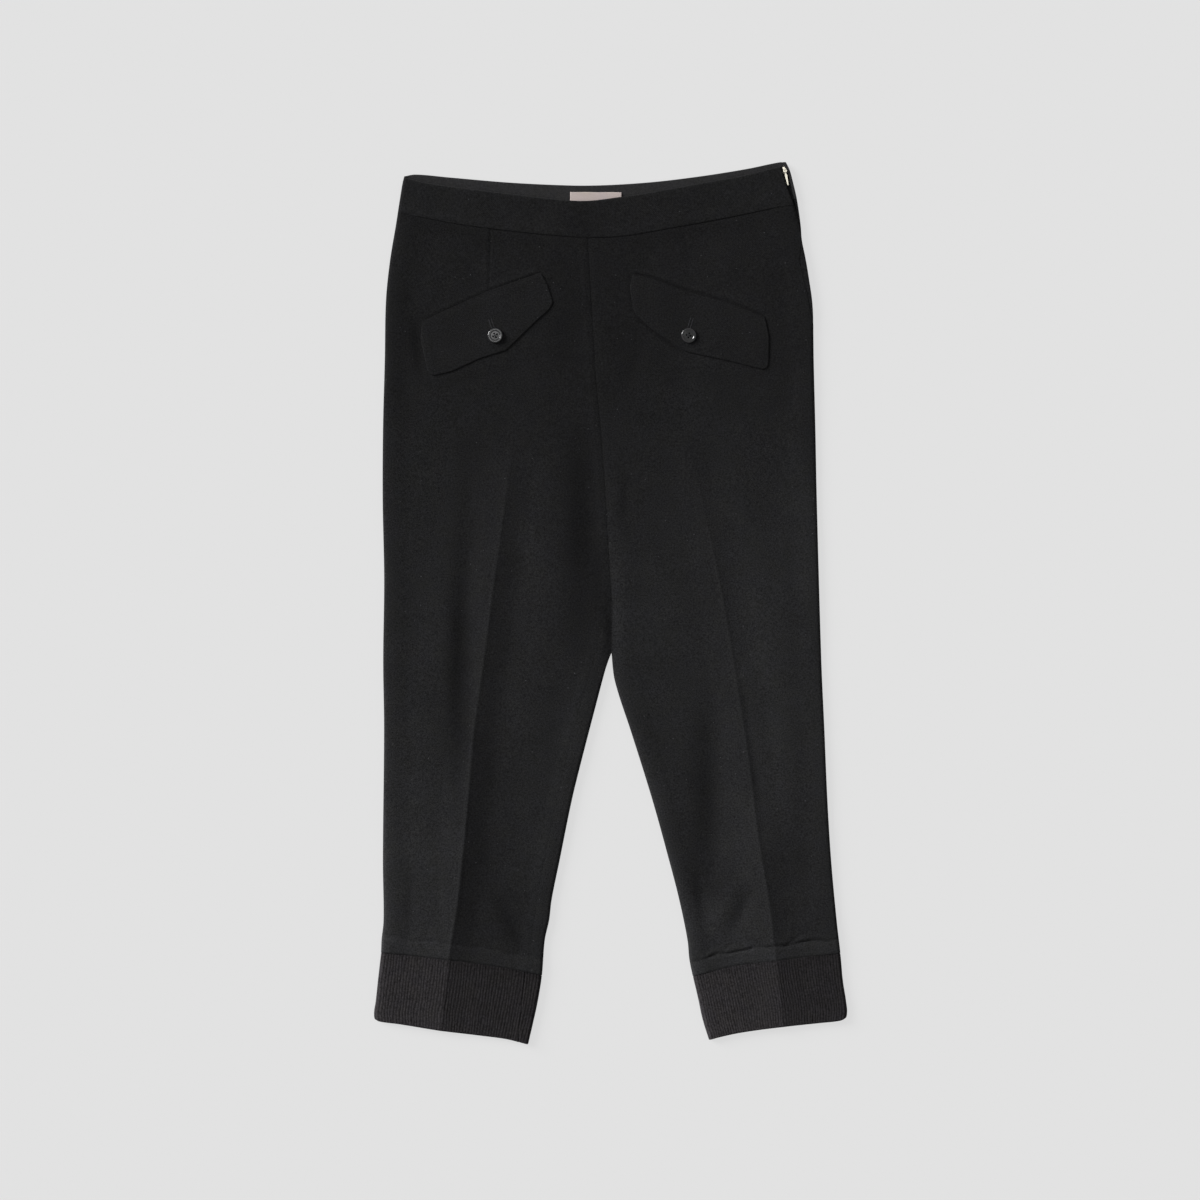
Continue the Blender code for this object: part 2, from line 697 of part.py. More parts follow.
def front_band(material, collection):
    """The front half of the waistband, from the right side to the zip opening."""
    shares = [i / 14 for i in range(1, 14)]
    heights = (0.0, 0.05, 0.5, 0.95, 1.0)
    edge_height = BAND_LIE / 2 + SEAM_GAP / 2
    columns = len(ROLL_STEPS) + len(shares) + 2

    def station(column, down):
        left = smooth(OUTER_RIGHT, down)
        right = smooth(OPENING_EDGE, down)
        if column < len(ROLL_STEPS):
            return left + ROLL_STEPS[column][0] * EDGE_ROLL
        if column >= columns - 2:
            return right - (columns - 1 - column) * 2.0
        share = shares[column - len(ROLL_STEPS)]
        return mix(left + EDGE_ROLL, right - 2.0, share)

    def spot(column, row):
        up = heights[row]
        down = 200.0
        for _ in range(5):
            across = station(column, down)
            seam = smooth(FRONT_BAND_SEAM, across) - SEAM_GAP / 2
            down = mix(seam, smooth(FRONT_BAND_TOP, across), up)
        lie = BAND_LIE - (0.5 if row == len(heights) - 1 else 0.0)
        if column < len(ROLL_STEPS):
            lie = mix(edge_height, lie, ROLL_STEPS[column][1])
        elif column == columns - 1:
            lie -= 0.4
        return across, down, lie

    def rims(column, row):
        axes = "y" if row in (0, len(heights) - 1) else ""
        if column == 0:
            return axes + "z"
        return axes + ("x" if column == columns - 1 else "")

    grid = mapped_grid(columns, len(heights), spot)
    return cloth("waistband_front", grid, BAND_WALL, material, collection, rims=rims)


def back_band(material, collection):
    """The back half of the waistband, whose inside shows above the front."""
    steps = ROLL_STEPS
    shares = [i / 14 for i in range(1, 14)]
    columns = 2 * len(steps) + len(shares)
    heights = (0.0, 0.5, 1.0)
    edge_height = BAND_LIE / 2 - SEAM_GAP / 2

    def station(column, down):
        left = smooth(OUTER_RIGHT, down)
        right = smooth(OUTER_LEFT, down)
        if column < len(steps):
            return left + steps[column][0] * EDGE_ROLL
        if column >= columns - len(steps):
            return right - steps[columns - 1 - column][0] * EDGE_ROLL
        share = shares[column - len(steps)]
        return mix(left + EDGE_ROLL, right - EDGE_ROLL, share)

    def spot(column, row):
        down = 190.0
        for _ in range(5):
            across = station(column, down)
            top = smooth(BACK_BAND_TOP, across)
            down = top + (BAND_HEIGHT - SEAM_GAP / 2) * (1 - heights[row])
        if column < len(steps):
            return across, down, edge_height * (1 - steps[column][1])
        if column >= columns - len(steps):
            return across, down, edge_height * (1 - steps[columns - 1 - column][1])
        return across, down, 0.0

    def rims(column, row):
        axes = "y" if row in (0, len(heights) - 1) else ""
        return axes + ("z" if column in (0, columns - 1) else "")

    grid = mapped_grid(columns, len(heights), spot)
    return cloth("waistband_back", grid, BAND_WALL, material, collection, up=False, rims=rims)


def flap(leg, outline, material, collection):
    """A shaped pocket flap that lies on the front panel."""
    shares = outline["columns"]
    corners = [along(outline[side], end) for side in ("seam", "lower") for end in (0, 1)]

    def spot(column, row):
        u = shares[column]
        v = FLAP_ROWS[len(FLAP_ROWS) - 1 - row]
        across_way = along(outline["seam"], u) * (1 - v) + along(outline["lower"], u) * v
        down_way = along(outline["left"], v) * (1 - u) + along(outline["right"], v) * u
        top = corners[0].lerp(corners[1], u)
        low = corners[2].lerp(corners[3], u)
        across, down = across_way + down_way - top.lerp(low, v)
        height = leg.lie(across, down) + LAY_GAP + FLAP_WALL
        if u in (0, 1) or v in (0, 1):
            height -= FLAP_EDGE_DROP
        return across, down, height

    grid = mapped_grid(len(shares), len(FLAP_ROWS), spot)
    face_out(grid, True)
    mesh = bpy.data.meshes.new("flap_" + leg.side)
    grid.to_mesh(mesh)
    grid.free()
    item = new_object("flap_" + leg.side, mesh, material, collection)
    thicken(item, FLAP_WALL - FLAP_EDGE_DROP)
    return item


def button(leg, spot, material, collection, cutters):
    """A four-hole button with a raised rim, lying on its flap."""
    across, down = spot
    height = leg.lie(across, down) + FLAP_WALL + 2 * LAY_GAP
    well = BUTTON_THICK - BUTTON_WELL_DEPTH
    profile = [
        (0, well), (BUTTON_WELL_RADIUS, well), (BUTTON_WELL_RADIUS + 0.7, BUTTON_THICK - 0.2),
        (BUTTON_RADIUS - 1.2, BUTTON_THICK), (BUTTON_RADIUS - 0.3, BUTTON_THICK - 0.35),
        (BUTTON_RADIUS, BUTTON_THICK - 1.0), (BUTTON_RADIUS, 0.8), (BUTTON_RADIUS - 0.8, 0),
        (0, 0),
    ]
    mesh = bpy.data.meshes.new("button_" + leg.side)
    points = [(radius * MM, 0, up * MM) for radius, up in profile]
    mesh.from_pydata(points, [(i, i + 1) for i in range(len(points) - 1)], [])
    item = new_object("button_" + leg.side, mesh, material, collection)
    item.location = place(across, down, height)
    screw = item.modifiers.new("Turn", "SCREW")
    screw.steps = 24
    screw.render_steps = 24
    screw.use_merge_vertices = True
    screw.merge_threshold = 0.00001
    for quarter in range(4):
        angle = math.radians(45 + 90 * quarter)
        hole = cylinder("hole_%s_%d" % (leg.side, quarter), BUTTON_HOLE_RADIUS, 8.0, 10, cutters)
        offset = Vector((math.cos(angle), math.sin(angle), 0)) * BUTTON_HOLE_OFFSET * MM
        hole.location = item.location + offset
        as_cutter(hole)
        add_boolean(item, hole, "DIFFERENCE")
    return item


def cylinder(name, radius, length, sides, collection, turn=None):
    """A round bar along Z, or turned, with its middle at its origin; sizes in millimetres."""
    bar = bmesh.new()
    bmesh.ops.create_cone(
        bar, cap_ends=True, segments=sides, radius1=radius * MM, radius2=radius * MM,
        depth=length * MM, matrix=turn or Matrix())
    return mesh_object(name, bar, collection)


def box(name, low, high, collection):
    """A box between two corners, in millimetres."""
    block = bmesh.new()
    size = [(b - a) * MM for a, b in zip(low, high)]
    middle = [(a + b) / 2 * MM for a, b in zip(low, high)]
    bmesh.ops.create_cube(
        block, size=1, matrix=Matrix.Translation(middle) @ Matrix.Diagonal(size + [1]))
    return mesh_object(name, block, collection)


def mesh_object(name, shape, collection):
    mesh = bpy.data.meshes.new(name)
    shape.to_mesh(mesh)
    shape.free()
    item = bpy.data.objects.new(name, mesh)
    collection.objects.link(item)
    return item


def label(material, collection):
    """The bare woven label, lying on the inside of the back waistband."""
    shares = (0, 0.5, 1)
    height = BAND_WALL + LAY_GAP + LABEL_WALL

    def spot(column, row):
        across = mix(LABEL_LEFT, LABEL_RIGHT, shares[column])
        top = mix(LABEL_TOP_LEFT_DOWN, LABEL_TOP_RIGHT_DOWN, shares[column])
        return across, top + LABEL_HEIGHT * (1 - shares[row]), height

    grid = mapped_grid(len(shares), len(shares), spot)
    return cloth("label", grid, LABEL_WALL, material, collection)


def zip_tape(material, collection):
    """The zip's tape, down the side opening on the inside of the back."""
    levels = (TAPE_TOP_DOWN, 180, 195, 202, 210, 225, 240, 255, 275, 295, TAPE_END_DOWN)
    shares = (0, 0.5, 1)

    def spot(column, row):
        down = levels[len(levels) - 1 - row]
        silhouette = smooth(OUTER_LEFT, down)
        right = min(smooth(OPENING_EDGE, down) + 4.0, silhouette - 4.4)
        across = right - TAPE_WIDTH * (1 - shares[column])
        band_foot = smooth(BACK_BAND_TOP, right) + BAND_HEIGHT
        under = mix(BAND_WALL, LEG_WALL, ease((down - band_foot - 3) / 8)) + LAY_GAP
        return across, down, under + TAPE_WALL

    grid = mapped_grid(len(shares), len(levels), spot)
    return cloth("zip_tape", grid, TAPE_WALL, material, collection)


def at_hinge(item):
    """Stands an object, made round the pull tab's pin, at the pin's place on the zip."""
    item.location = place(*PULL_HINGE)
    item.rotation_euler.z = PULL_LEAN


def zip_slider(material, collection, cutters):
    """The slider: a rounded body with two lugs and the pin between them."""
    high = SLIDER_HIGH - PULL_HINGE[2]
    low = SLIDER_LOW - PULL_HINGE[2]
    reach = LUG_INNER + LUG_WIDTH
    body = box("zip_slider", (-reach, SLIDER_START, low),
               (reach, SLIDER_START + SLIDER_LENGTH, high), collection)
    body.data.materials.append(material)
    at_hinge(body)
    sideways = Matrix.Rotation(math.pi / 2, 4, "Y")
    bevel = body.modifiers.new("Round", "BEVEL")
    bevel.width = 0.45 * MM
    bevel.segments = 2
    joined = [cylinder("pin", PIN_RADIUS, 2 * reach - 0.4, 16, cutters, sideways)]
    for sign in (-1, 1):
        middle = sign * (LUG_INNER + LUG_WIDTH / 2)
        name = "left" if sign < 0 else "right"
        turn = Matrix.Translation((middle * MM, 0, 0)) @ sideways
        joined.append(cylinder("lug_" + name, KNUCKLE_RADIUS, LUG_WIDTH, 20, cutters, turn))
        joined.append(box("arm_" + name, (middle - LUG_WIDTH / 2 + 0.01, 0, low + 0.05),
                          (middle + LUG_WIDTH / 2 - 0.01, SLIDER_START + 1, high - 0.1), cutters))
    for piece in joined:
        at_hinge(piece)
        as_cutter(piece)
        add_boolean(body, piece, "UNION")
    return body


def zip_pull(material, collection, cutters):
    """The pull tab: a flat tapering tongue with a knuckle that turns on the slider's pin."""
    neck = KNUCKLE_WIDTH / 2 - 0.05
    wide = PULL_WIDTH / 2
    start = -KNUCKLE_RADIUS + 0.2
    outline = [
        (neck, start), (neck, -2.1), (wide, -4.0), (wide * 0.9, -PULL_LENGTH + 1.4),
        (wide * 0.6, -PULL_LENGTH + 0.4), (wide * 0.2, -PULL_LENGTH),
    ]
    outline += [(-across, along_tab) for across, along_tab in reversed(outline)]
    curve = bpy.data.curves.new("tongue", "CURVE")
    curve.dimensions = "2D"
    curve.fill_mode = "BOTH"
    curve.extrude = PULL_THICK / 2 * MM
    spline = curve.splines.new("POLY")
    spline.points.add(len(outline) - 1)
    for point, (across, along_tab) in zip(spline.points, outline):
        point.co = (across * MM, along_tab * MM, 0, 1)
    spline.use_cyclic_u = True
    drawn = bpy.data.objects.new("tongue", curve)
    collection.objects.link(drawn)
    mesh = evaluated_mesh(drawn)
    bpy.data.objects.remove(drawn)
    shape = bmesh.new()
    shape.from_mesh(mesh)
    bmesh.ops.remove_doubles(shape, verts=shape.verts, dist=0.001 * MM)
    bmesh.ops.recalc_face_normals(shape, faces=shape.faces)
    tongue = mesh_object("zip_pull", shape, collection)
    tongue.data.materials.clear()
    tongue.data.materials.append(material)
    at_hinge(tongue)
    sideways = Matrix.Rotation(math.pi / 2, 4, "Y")
    knuckle = cylinder("knuckle", KNUCKLE_RADIUS, KNUCKLE_WIDTH, 20, cutters, sideways)
    bore = cylinder("bore", PIN_HOLE_RADIUS, KNUCKLE_WIDTH + 1, 16, cutters, sideways)
    for piece, operation in ((knuckle, "UNION"), (bore, "DIFFERENCE")):
        at_hinge(piece)
        as_cutter(piece)
        add_boolean(tongue, piece, operation)
    return tongue


def build():
    for item in list(bpy.data.objects):
        bpy.data.objects.remove(item)
    trousers = new_collection("cropped_trousers")
    cutters = new_collection("cropped_trousers_cutters")
    wool = new_material("wool_twill", WOOL_COLOUR, 0.9)
    knit = new_material("rib_knit", KNIT_COLOUR, 0.95)
    woven = new_material("label_weave", LABEL_COLOUR, 0.8)
    horn = new_material("button_plastic", BUTTON_COLOUR, 0.25)
    tape = new_material("zip_tape_weave", TAPE_COLOUR, 0.9)
    ivory = new_material("pull_enamel", PULL_COLOUR, 0.35)

    for side, outline, spot in (("right", FLAP_RIGHT, BUTTON_RIGHT), ("left", FLAP_LEFT, BUTTON_LEFT)):
        leg = Leg(side)
        front_panel(leg, wool, trousers)
        back_panel(leg, wool, trousers)
        cuff(leg, knit, trousers)
        flap(leg, outline, wool, trousers)
        button(leg, spot, horn, trousers, cutters)
    front_band(wool, trousers)
    back_band(wool, trousers)
    label(woven, trousers)
    zip_tape(tape, trousers)
    zip_slider(ivory, trousers, cutters)
    zip_pull(ivory, trousers, cutters)


build()
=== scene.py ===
"""Looks of the cropped wool trousers: fine cloth shells, ribs, seams, buttons, zip and materials.

Distances are millimetres on the pattern's 1.2 m square table, across from its left edge and
down from its far edge, and points become the frame's metres when a mesh is made of them.
Right and left are the wearer's. Each cloth shell follows the form of the solid it stands for.
"""

import math

import bmesh
import bpy
import numpy as np
from mathutils import Matrix, Vector


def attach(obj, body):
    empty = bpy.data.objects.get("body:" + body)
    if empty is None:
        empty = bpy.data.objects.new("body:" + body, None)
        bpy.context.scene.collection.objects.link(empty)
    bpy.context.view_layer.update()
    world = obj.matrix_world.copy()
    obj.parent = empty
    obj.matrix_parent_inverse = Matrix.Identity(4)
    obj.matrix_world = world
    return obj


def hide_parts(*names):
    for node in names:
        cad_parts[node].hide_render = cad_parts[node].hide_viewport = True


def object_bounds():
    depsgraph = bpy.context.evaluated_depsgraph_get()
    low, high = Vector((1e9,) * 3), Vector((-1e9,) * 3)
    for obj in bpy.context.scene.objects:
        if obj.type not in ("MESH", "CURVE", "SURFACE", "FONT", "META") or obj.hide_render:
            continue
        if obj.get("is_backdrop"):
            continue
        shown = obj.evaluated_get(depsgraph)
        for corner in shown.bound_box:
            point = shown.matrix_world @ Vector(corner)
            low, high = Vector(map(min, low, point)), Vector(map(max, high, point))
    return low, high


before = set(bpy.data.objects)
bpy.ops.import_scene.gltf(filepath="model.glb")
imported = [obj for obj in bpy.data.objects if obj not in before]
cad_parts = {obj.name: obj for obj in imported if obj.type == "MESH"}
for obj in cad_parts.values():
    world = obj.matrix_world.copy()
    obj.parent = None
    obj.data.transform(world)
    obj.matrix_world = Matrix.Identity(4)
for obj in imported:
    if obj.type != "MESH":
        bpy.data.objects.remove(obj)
cad_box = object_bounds()

MM = 0.001
TABLE_MIDDLE_ACROSS = 610.5
TABLE_MIDDLE_DOWN = 603.2

# Driving sizes, in millimetres
LEG_WALL = 1.5
BAND_WALL = 2.2
CUFF_WALL = 2.0
FLAP_WALL = 0.7
LABEL_WALL = 0.8
TAPE_WALL = 0.8
BAND_HEIGHT = 36.6
CUFF_HEIGHT = 67.5
SEAM_GAP = 0.04
CLOSE_GAP = 0.004
LAY_GAP = 0.4
CROTCH_DOWN = 653.0
FORK_DOWN = 600.6
SEAMS_MEET_DOWN = 600.0
HEM_DOWN = 953.0

# How much of the room for the label and the tape their own wall fills
WOVEN_SHARE = 0.8

# Heights of the outer faces above the table, in millimetres
LEG_LIE = 4.6
BAND_LIE = 6.2
CUFF_LIE = 5.3
FLAP_LIFT = 1.15
ANKLE_STEP = 0.6
EDGE_ROLL = 3.5
EDGE_PUFF = 0.9
EDGE_PUFF_CREST = 7.0
EDGE_PUFF_REACH = 21.0
EDGE_MIDDLE = (LEG_LIE + EDGE_PUFF) / 2
OPENING_LIE = 4.6
OPENING_FOLD = 4.9
CREASE_HALF_WIDTH = 26.0
CREASE_CURL = 1.3

# Soft lines beside a seam, edge or crease: how far off it, half width, height (under 0 is a groove)
CREASE_CROWN = [(0, 2.2, 0.12)]
CENTRE_DIP = [(0, 4, -0.25)]
DART_LINES = [(0, 1.1, -1), (-4, 3.5, 0.5)]
WAIST_LINES = [(0, 9, 1.1), (0, 0.9, -0.12)]
HEM_LINES = [(0, 0.9, -0.4)]
FLAP_SEAM_LINES = [(-2.8, 2.2, 0.5), (-0.3, 0.8, -0.6)]
FLAP_STITCH = [(6, 1.5, 0.15)]
BAND_SEAM_LINES = [(4.5, 3.5, 0.2)]
BAND_DIP = [(588, 12, -0.3)]
BACK_BAND_STITCH = [(4, 0.5, -0.35)]
BACK_SEAM_LINES = [(0, 1, 0.8)]
CUFF_SEAM_LINES = [(0, 0.6, -0.6), (0, 3, 0.2)]

# Lines of painted shade and painted light beside seams, edges and the crease, where shade gathers and
# light falls: how far off, half width, share of the tone
CREASE_LIGHT = [(0, 1.6, 0.10)]
FORK_SHADE = [(0, 1.2, -0.2)]
WAIST_SHADE = [(0, 1.2, -0.13)]
FLAP_SEAM_SHADE = [(-0.6, 1.3, -0.2)]
FLAP_TOP_SHADE = [(0, 1.2, -0.22)]
BAND_GLOW = [(4, 4, 0.06)]
BAND_DIP_SHADE = [(585, 26, -0.11)]
BAND_SEAM_SHADE = [(0, 1.2, -0.10)]
BAND_TOP_LIGHT = [(0.8, 0.9, 0.10)]
CUFF_EDGE_LIGHT = [(0, 6, 0.5)]
CUFF_TOP_SHADE = [(0, 0.8, -0.35)]

# How far below the waist seam, and above the hem, the rows of points still bend with them
WAIST_BLEND = 90.0
HEM_BLEND = 80.0

# Ribs of the cuffs, and the steps between points of each part
RIBS_ON_FRONT = 52
RIBS_ON_EDGE = 3
RIB_HEIGHT = 0.4
RIB_DEPTH = 0.5
RIB_SAMPLES_TOP = 6
RIB_SAMPLES_UNDER = 4
FRONT_CELL = 1.9
BACK_CELL = 3.2
BAND_CELL = 1.5

# Silhouette and seam lines that run down the legs: (down, across)
OUTER_RIGHT = [
    (174, 404.8), (182, 402.6), (200, 399.6), (225, 395.7), (260, 389.9), (300, 385.8),
    (360, 384.6), (430, 382.8), (500, 382.5), (580, 384), (660, 383), (730, 383.9),
    (860, 382.7), (920, 383.4), (940, 381.4), (953, 380.8), (980, 377.7), (1000, 375.5),
    (1014, 373.7), (1021, 374.6),
]
INNER_RIGHT = [
    (653, 611.35), (660, 608.6), (670, 605.3), (700, 597.3), (760, 581.7), (800, 571.9),
    (860, 559.7), (900, 551.6), (920, 549.2), (940, 544.8), (976, 541.9), (1000, 538.2),
    (1020, 533.9), (1045, 528.1),
]
INNER_LEFT = [
    (653, 611.65), (660, 612.1), (670, 613), (680, 614.6), (700, 620.4), (730, 630.5),
    (800, 652.4), (860, 669), (900, 679.3), (940, 687.5), (960, 689.5), (980, 693.7),
    (1000, 698.3), (1020, 702.7), (1041, 709.2),
]
OUTER_LEFT = [
    (162, 785.8), (170, 789.7), (180, 792.5), (200, 797.1), (225, 800.7), (240, 801.9),
    (260, 805.9), (280, 809.2), (300, 812.1), (320, 813.3), (360, 813.9), (430, 815.6),
    (500, 817), (660, 821.5), (730, 824.6), (800, 827.6), (860, 831.3), (920, 836.8),
    (955, 840.8), (980, 843.1), (1000, 846.3), (1012, 847.5), (1018, 846.6),
]
OPENING_EDGE = [
    (166, 780.8), (173, 783), (180, 784.9), (189, 788), (206, 794.4), (216, 797.2),
    (231, 800.2), (246, 800.4), (260, 799.5), (279, 803), (294, 807), (313, 810.5),
    (324, 813.3), (330, 813.5),
]
OPENING_END_DOWN = 324.0
CENTRE_FRONT = [
    (237, 587.3), (283, 590), (333, 593), (383, 596), (434, 601), (490, 605),
    (569, 609.6), (600, 611.4), (653, 611.5),
]
CENTRE_BACK = [(222, 596), (440, 603), (600, 610.6), (653, 611.5)]
INSEAM_RIGHT = [
    (600, 611.4), (603, 609.4), (608, 606.9), (615, 604.6), (627, 601.3), (643, 597.6),
    (657, 594.6), (673, 590), (690, 585), (760, 566.3), (860, 544.3), (920, 534),
    (976, 527.5),
]
INSEAM_LEFT = [
    (600, 611.6), (603, 613.4), (608, 617.2), (615, 620.6), (629, 625.6), (643, 631.2),
    (665, 637.4), (695, 644.5), (737, 655.7), (787, 668.4), (840, 683), (893, 695.8),
    (930, 702.4), (976, 708.2),
]
CREASE_RIGHT = [
    (213, 500), (300, 511), (430, 513), (483, 507.2), (532, 500.8), (594, 492.2),
    (661, 483.5), (729, 474), (760, 471.3), (821, 466), (900, 457.7), (953, 449.6),
    (1040, 439.5),
]
CREASE_LEFT = [
    (206, 694), (300, 687), (400, 684), (428, 685), (465, 693.3), (532, 709),
    (606, 723.8), (680, 736.1), (753, 747.6), (833, 757.6), (870, 763.4), (900, 768.7),
    (953, 775.4), (1030, 783.6),
]

# The cuff's own seam: (down, across)
CUFF_SEAM_RIGHT = [(975, 525), (1034.7, 518.7)]

# Height of the pressed crease over the cloth beside it: (down, height)
CREASE_HEIGHT = [(415, 0), (480, 1), (560, 1.8), (660, 2.3), (900, 2.4), (953, 1.9), (1040, 1)]

# Lines that run across the garment: (across, down)
FRONT_BAND_TOP = [
    (404, 177), (425, 182.5), (470, 189), (512, 194), (550, 198.6), (585, 200.8),
    (620, 196.9), (657, 191), (698, 183.5), (740, 176), (770, 168.6), (783, 165.5),
]
FRONT_BAND_SEAM = [
    (397, 213), (425, 218), (463, 225), (510, 231), (545, 234.7), (587, 237.8),
    (620, 236.5), (650, 232), (707, 221.7), (737, 216), (770, 209), (797, 205),
]
BACK_BAND_TOP = [
    (402, 176.4), (415, 174), (450, 177), (510, 182.1), (570, 184.9), (600, 184.8),
    (630, 183.3), (660, 180.8), (690, 177.2), (720, 172.9), (750, 167.8), (780, 161.7),
    (787, 162.2),
]
HEM_RIGHT = [(381, 952.7), (404, 955), (448, 960), (473, 963), (511, 969), (542, 975.5)]
HEM_LEFT = [(693, 976), (714, 971), (737, 965.5), (775, 961), (817, 955.5), (841, 953)]
CUFF_END_RIGHT = [
    (374, 1019.5), (380, 1021.8), (400, 1024.5), (440, 1030.8), (480, 1035.7), (505, 1039),
    (520, 1042.5), (529, 1045),
]
CUFF_END_LEFT = [
    (708, 1040.6), (720, 1037.3), (740, 1033), (780, 1027.4), (820, 1023.2), (840, 1020.9),
    (848, 1017.5),
]

# Flap outlines, one table for each side: (share of the side, across, down)
FLAP_RIGHT = {
    "seam": [(0, 422, 321), (0.5, 487, 291.5), (1, 541, 272.5)],
    "lower": [
        (0, 429, 377), (0.18, 452, 371.5), (0.42, 480, 358.5), (0.64, 506, 350.5),
        (0.85, 534, 323), (1, 554, 305),
    ],
    "left": [(0, 422, 321), (0.35, 420.7, 340), (1, 429, 377)],
    "right": [(0, 541, 272.5), (0.35, 547.5, 284.5), (1, 554, 305)],
}
FLAP_LEFT = {
    "seam": [(0, 633, 273.5), (0.15, 653, 277.5), (0.4, 685, 289.5), (0.7, 728, 301),
             (1, 765, 316)],
    "lower": [(0, 633, 311.5), (0.15, 652, 329.3), (0.4, 685, 351.5), (0.45, 692, 353.5),
              (0.7, 728, 361), (1, 768.5, 371)],
    "left": [(0, 633, 273.5), (0.35, 629.9, 287), (1, 633, 311.5)],
    "right": [(0, 765, 316), (0.35, 769.3, 337), (1, 768.5, 371)],
}
FLAP_CORNER_LOW = 7.0
FLAP_CORNER_HIGH = 2.5

# A four-hole button, and its section from the middle of its face to its foot: (radius, up)
BUTTON_THICK = 2.1
BUTTON_WELL = BUTTON_THICK - 0.5
BUTTON_HOLE_RADIUS = 0.95
BUTTON_HOLE_OFFSET = 2.0
BUTTON_CLEAR = 0.4
BUTTON_PROFILE = [
    (0, BUTTON_WELL - 0.17), (1.4, BUTTON_WELL - 0.15), (2.8, BUTTON_WELL - 0.09),
    (4.2, BUTTON_WELL + 0.02), (4.4, BUTTON_WELL), (4.75, BUTTON_WELL - 0.1),
    (5, BUTTON_WELL + 0.05), (5.25, BUTTON_THICK - 0.14), (5.5, BUTTON_THICK - 0.01),
    (5.6, BUTTON_THICK), (6.6, BUTTON_THICK), (6.75, BUTTON_THICK - 0.02),
    (7.1, BUTTON_THICK - 0.18), (7.4, BUTTON_THICK - 0.5), (7.6, BUTTON_THICK - 1),
    (7.5, 0.85), (7.1, 0.5), (6.2, 0.15), (5, 0), (0, 0),
]
THREAD_RADIUS = 0.2
STRAND_ASIDE = 0.24
CORD_RADIUS = 0.33
CORD_ASIDE = 1.35
DRILL_DEEP = 8.0

# Woven label inside the back waistband: corners across and down
LABEL_LEFT = 570.0
LABEL_RIGHT = 621.5
LABEL_TOP_LEFT_DOWN = 191.7
LABEL_TOP_RIGHT_DOWN = 192.0
LABEL_HEIGHT = 16.0

# Side zip: its tape and teeth, then the pull tab's hinge point (across, down, up) and its lie
TAPE_TOP_DOWN = 168.5
TAPE_END_DOWN = 318.0
TAPE_WIDTH = 11.0
TEETH_FROM_TOP = 10.0
TEETH_SHARE = 0.66
TOOTH_SIZE = (1.5, 0.55, 0.5)
TOOTH_PITCH = 0.7
TOOTH_STAGGER = 0.35
TOOTH_LIFT = 0.3
PULL_HINGE = (785.2, 171.6, 5.0)
PULL_LEAN = math.radians(12)

# Colours matched to the photograph; the thread is a little lighter than the cloth
WOOL_COLOUR = (0.0134, 0.0134, 0.0134)
INSIDE_COLOUR = (0.0140, 0.0138, 0.0138)
KNIT_COLOUR = (0.0226, 0.0209, 0.0213)
LABEL_COLOUR = (0.435, 0.372, 0.342)
BUTTON_COLOUR = (0.011, 0.011, 0.0115)
TAPE_COLOUR = (0.012, 0.012, 0.012)
PULL_COLOUR = (0.80, 0.76, 0.64)
THREAD_COLOUR = (0.03, 0.03, 0.032)
LINT_COLOUR = (0.1, 0.1, 0.105, 1)
LINT_SPACING = 7.0
COOL_CAST = (0.985, 0.99, 1.06)
BACK_BAND_INSIDE = 1.62

# How far apart the cloth's blotches, changes of hue and fuzz are, and how deep its weave and
# fuzz look; then the scale that gives a wave texture one wave in each millimetre
BLOTCH_PITCH = 38.0
HUE_PITCH = 14.0
FUZZ_PITCH = 0.55
WEAVE_DEPTH = 0.12
FUZZ_DEPTH = 0.25
WAVE_SCALE = 0.314
GLOSS_CLOUD_PITCH = 3.125

# Soft folds pressed into each front: ends, half width, height (under 0 is a trough), sideways bow
FOLDS_RIGHT = [
    ((470, 425), (461, 800), 12, -1.5, 0),
    ((464, 540), (458, 800), 11, -1, 0),
    ((585, 425), (582, 668), 14, -0.9, -2),
    ((584, 450), (590, 600), 10, -0.6, 0),
    ((540, 455), (538, 640), 17, 0.5, 0),
    ((498, 896), (530, 957), 7, -1.2, 0),
    ((478, 903), (511, 952), 7, 0.5, 0),
    ((413, 860), (410, 938), 6, -0.6, 0),
    ((438, 885), (441, 937), 4, -0.5, 0),
    ((424, 740), (420, 905), 12, 0.5, 0),
    ((428, 395), (522, 368), 6, -0.4, 3),
    ((538, 352), (600, 364), 4, -0.5, -2),
    ((403, 290), (399, 440), 9, -0.4, 0),
    ((447, 232), (420, 312), 10, 0.5, 3),
    ((462, 236), (505, 290), 9, 0.6, 0),
    ((560, 655), (548, 800), 14, -0.4, 3),
    ((508, 690), (500, 870), 12, 0.3, 0),
    ((415, 316), (421, 378), 5, -0.7, 0),
]
FOLDS_LEFT = [
    ((706, 680), (709, 905), 13, -2.1, 6),
    ((622, 455), (628, 665), 10, 0.5, 0),
    ((738, 655), (767, 850), 5, -0.5, 0),
    ((757, 880), (728, 941), 6.5, -1.2, 0),
    ((738, 882), (711, 940), 8, 0.7, 0),
    ((697, 868), (705, 930), 6, -0.8, 0),
    ((783, 948), (803, 935), 1.8, -0.8, 1),
    ((806, 332), (768, 425), 11, -0.5, 4),
    ((700, 372), (748, 394), 6, -0.4, 2),
    ((645, 330), (620, 395), 7, -0.4, 3),
    ((800, 480), (809, 800), 10, -0.4, -3),
    ((672, 430), (655, 560), 14, -0.5, 5),
    ((628, 480), (623, 530), 6, -0.7, 0),
]
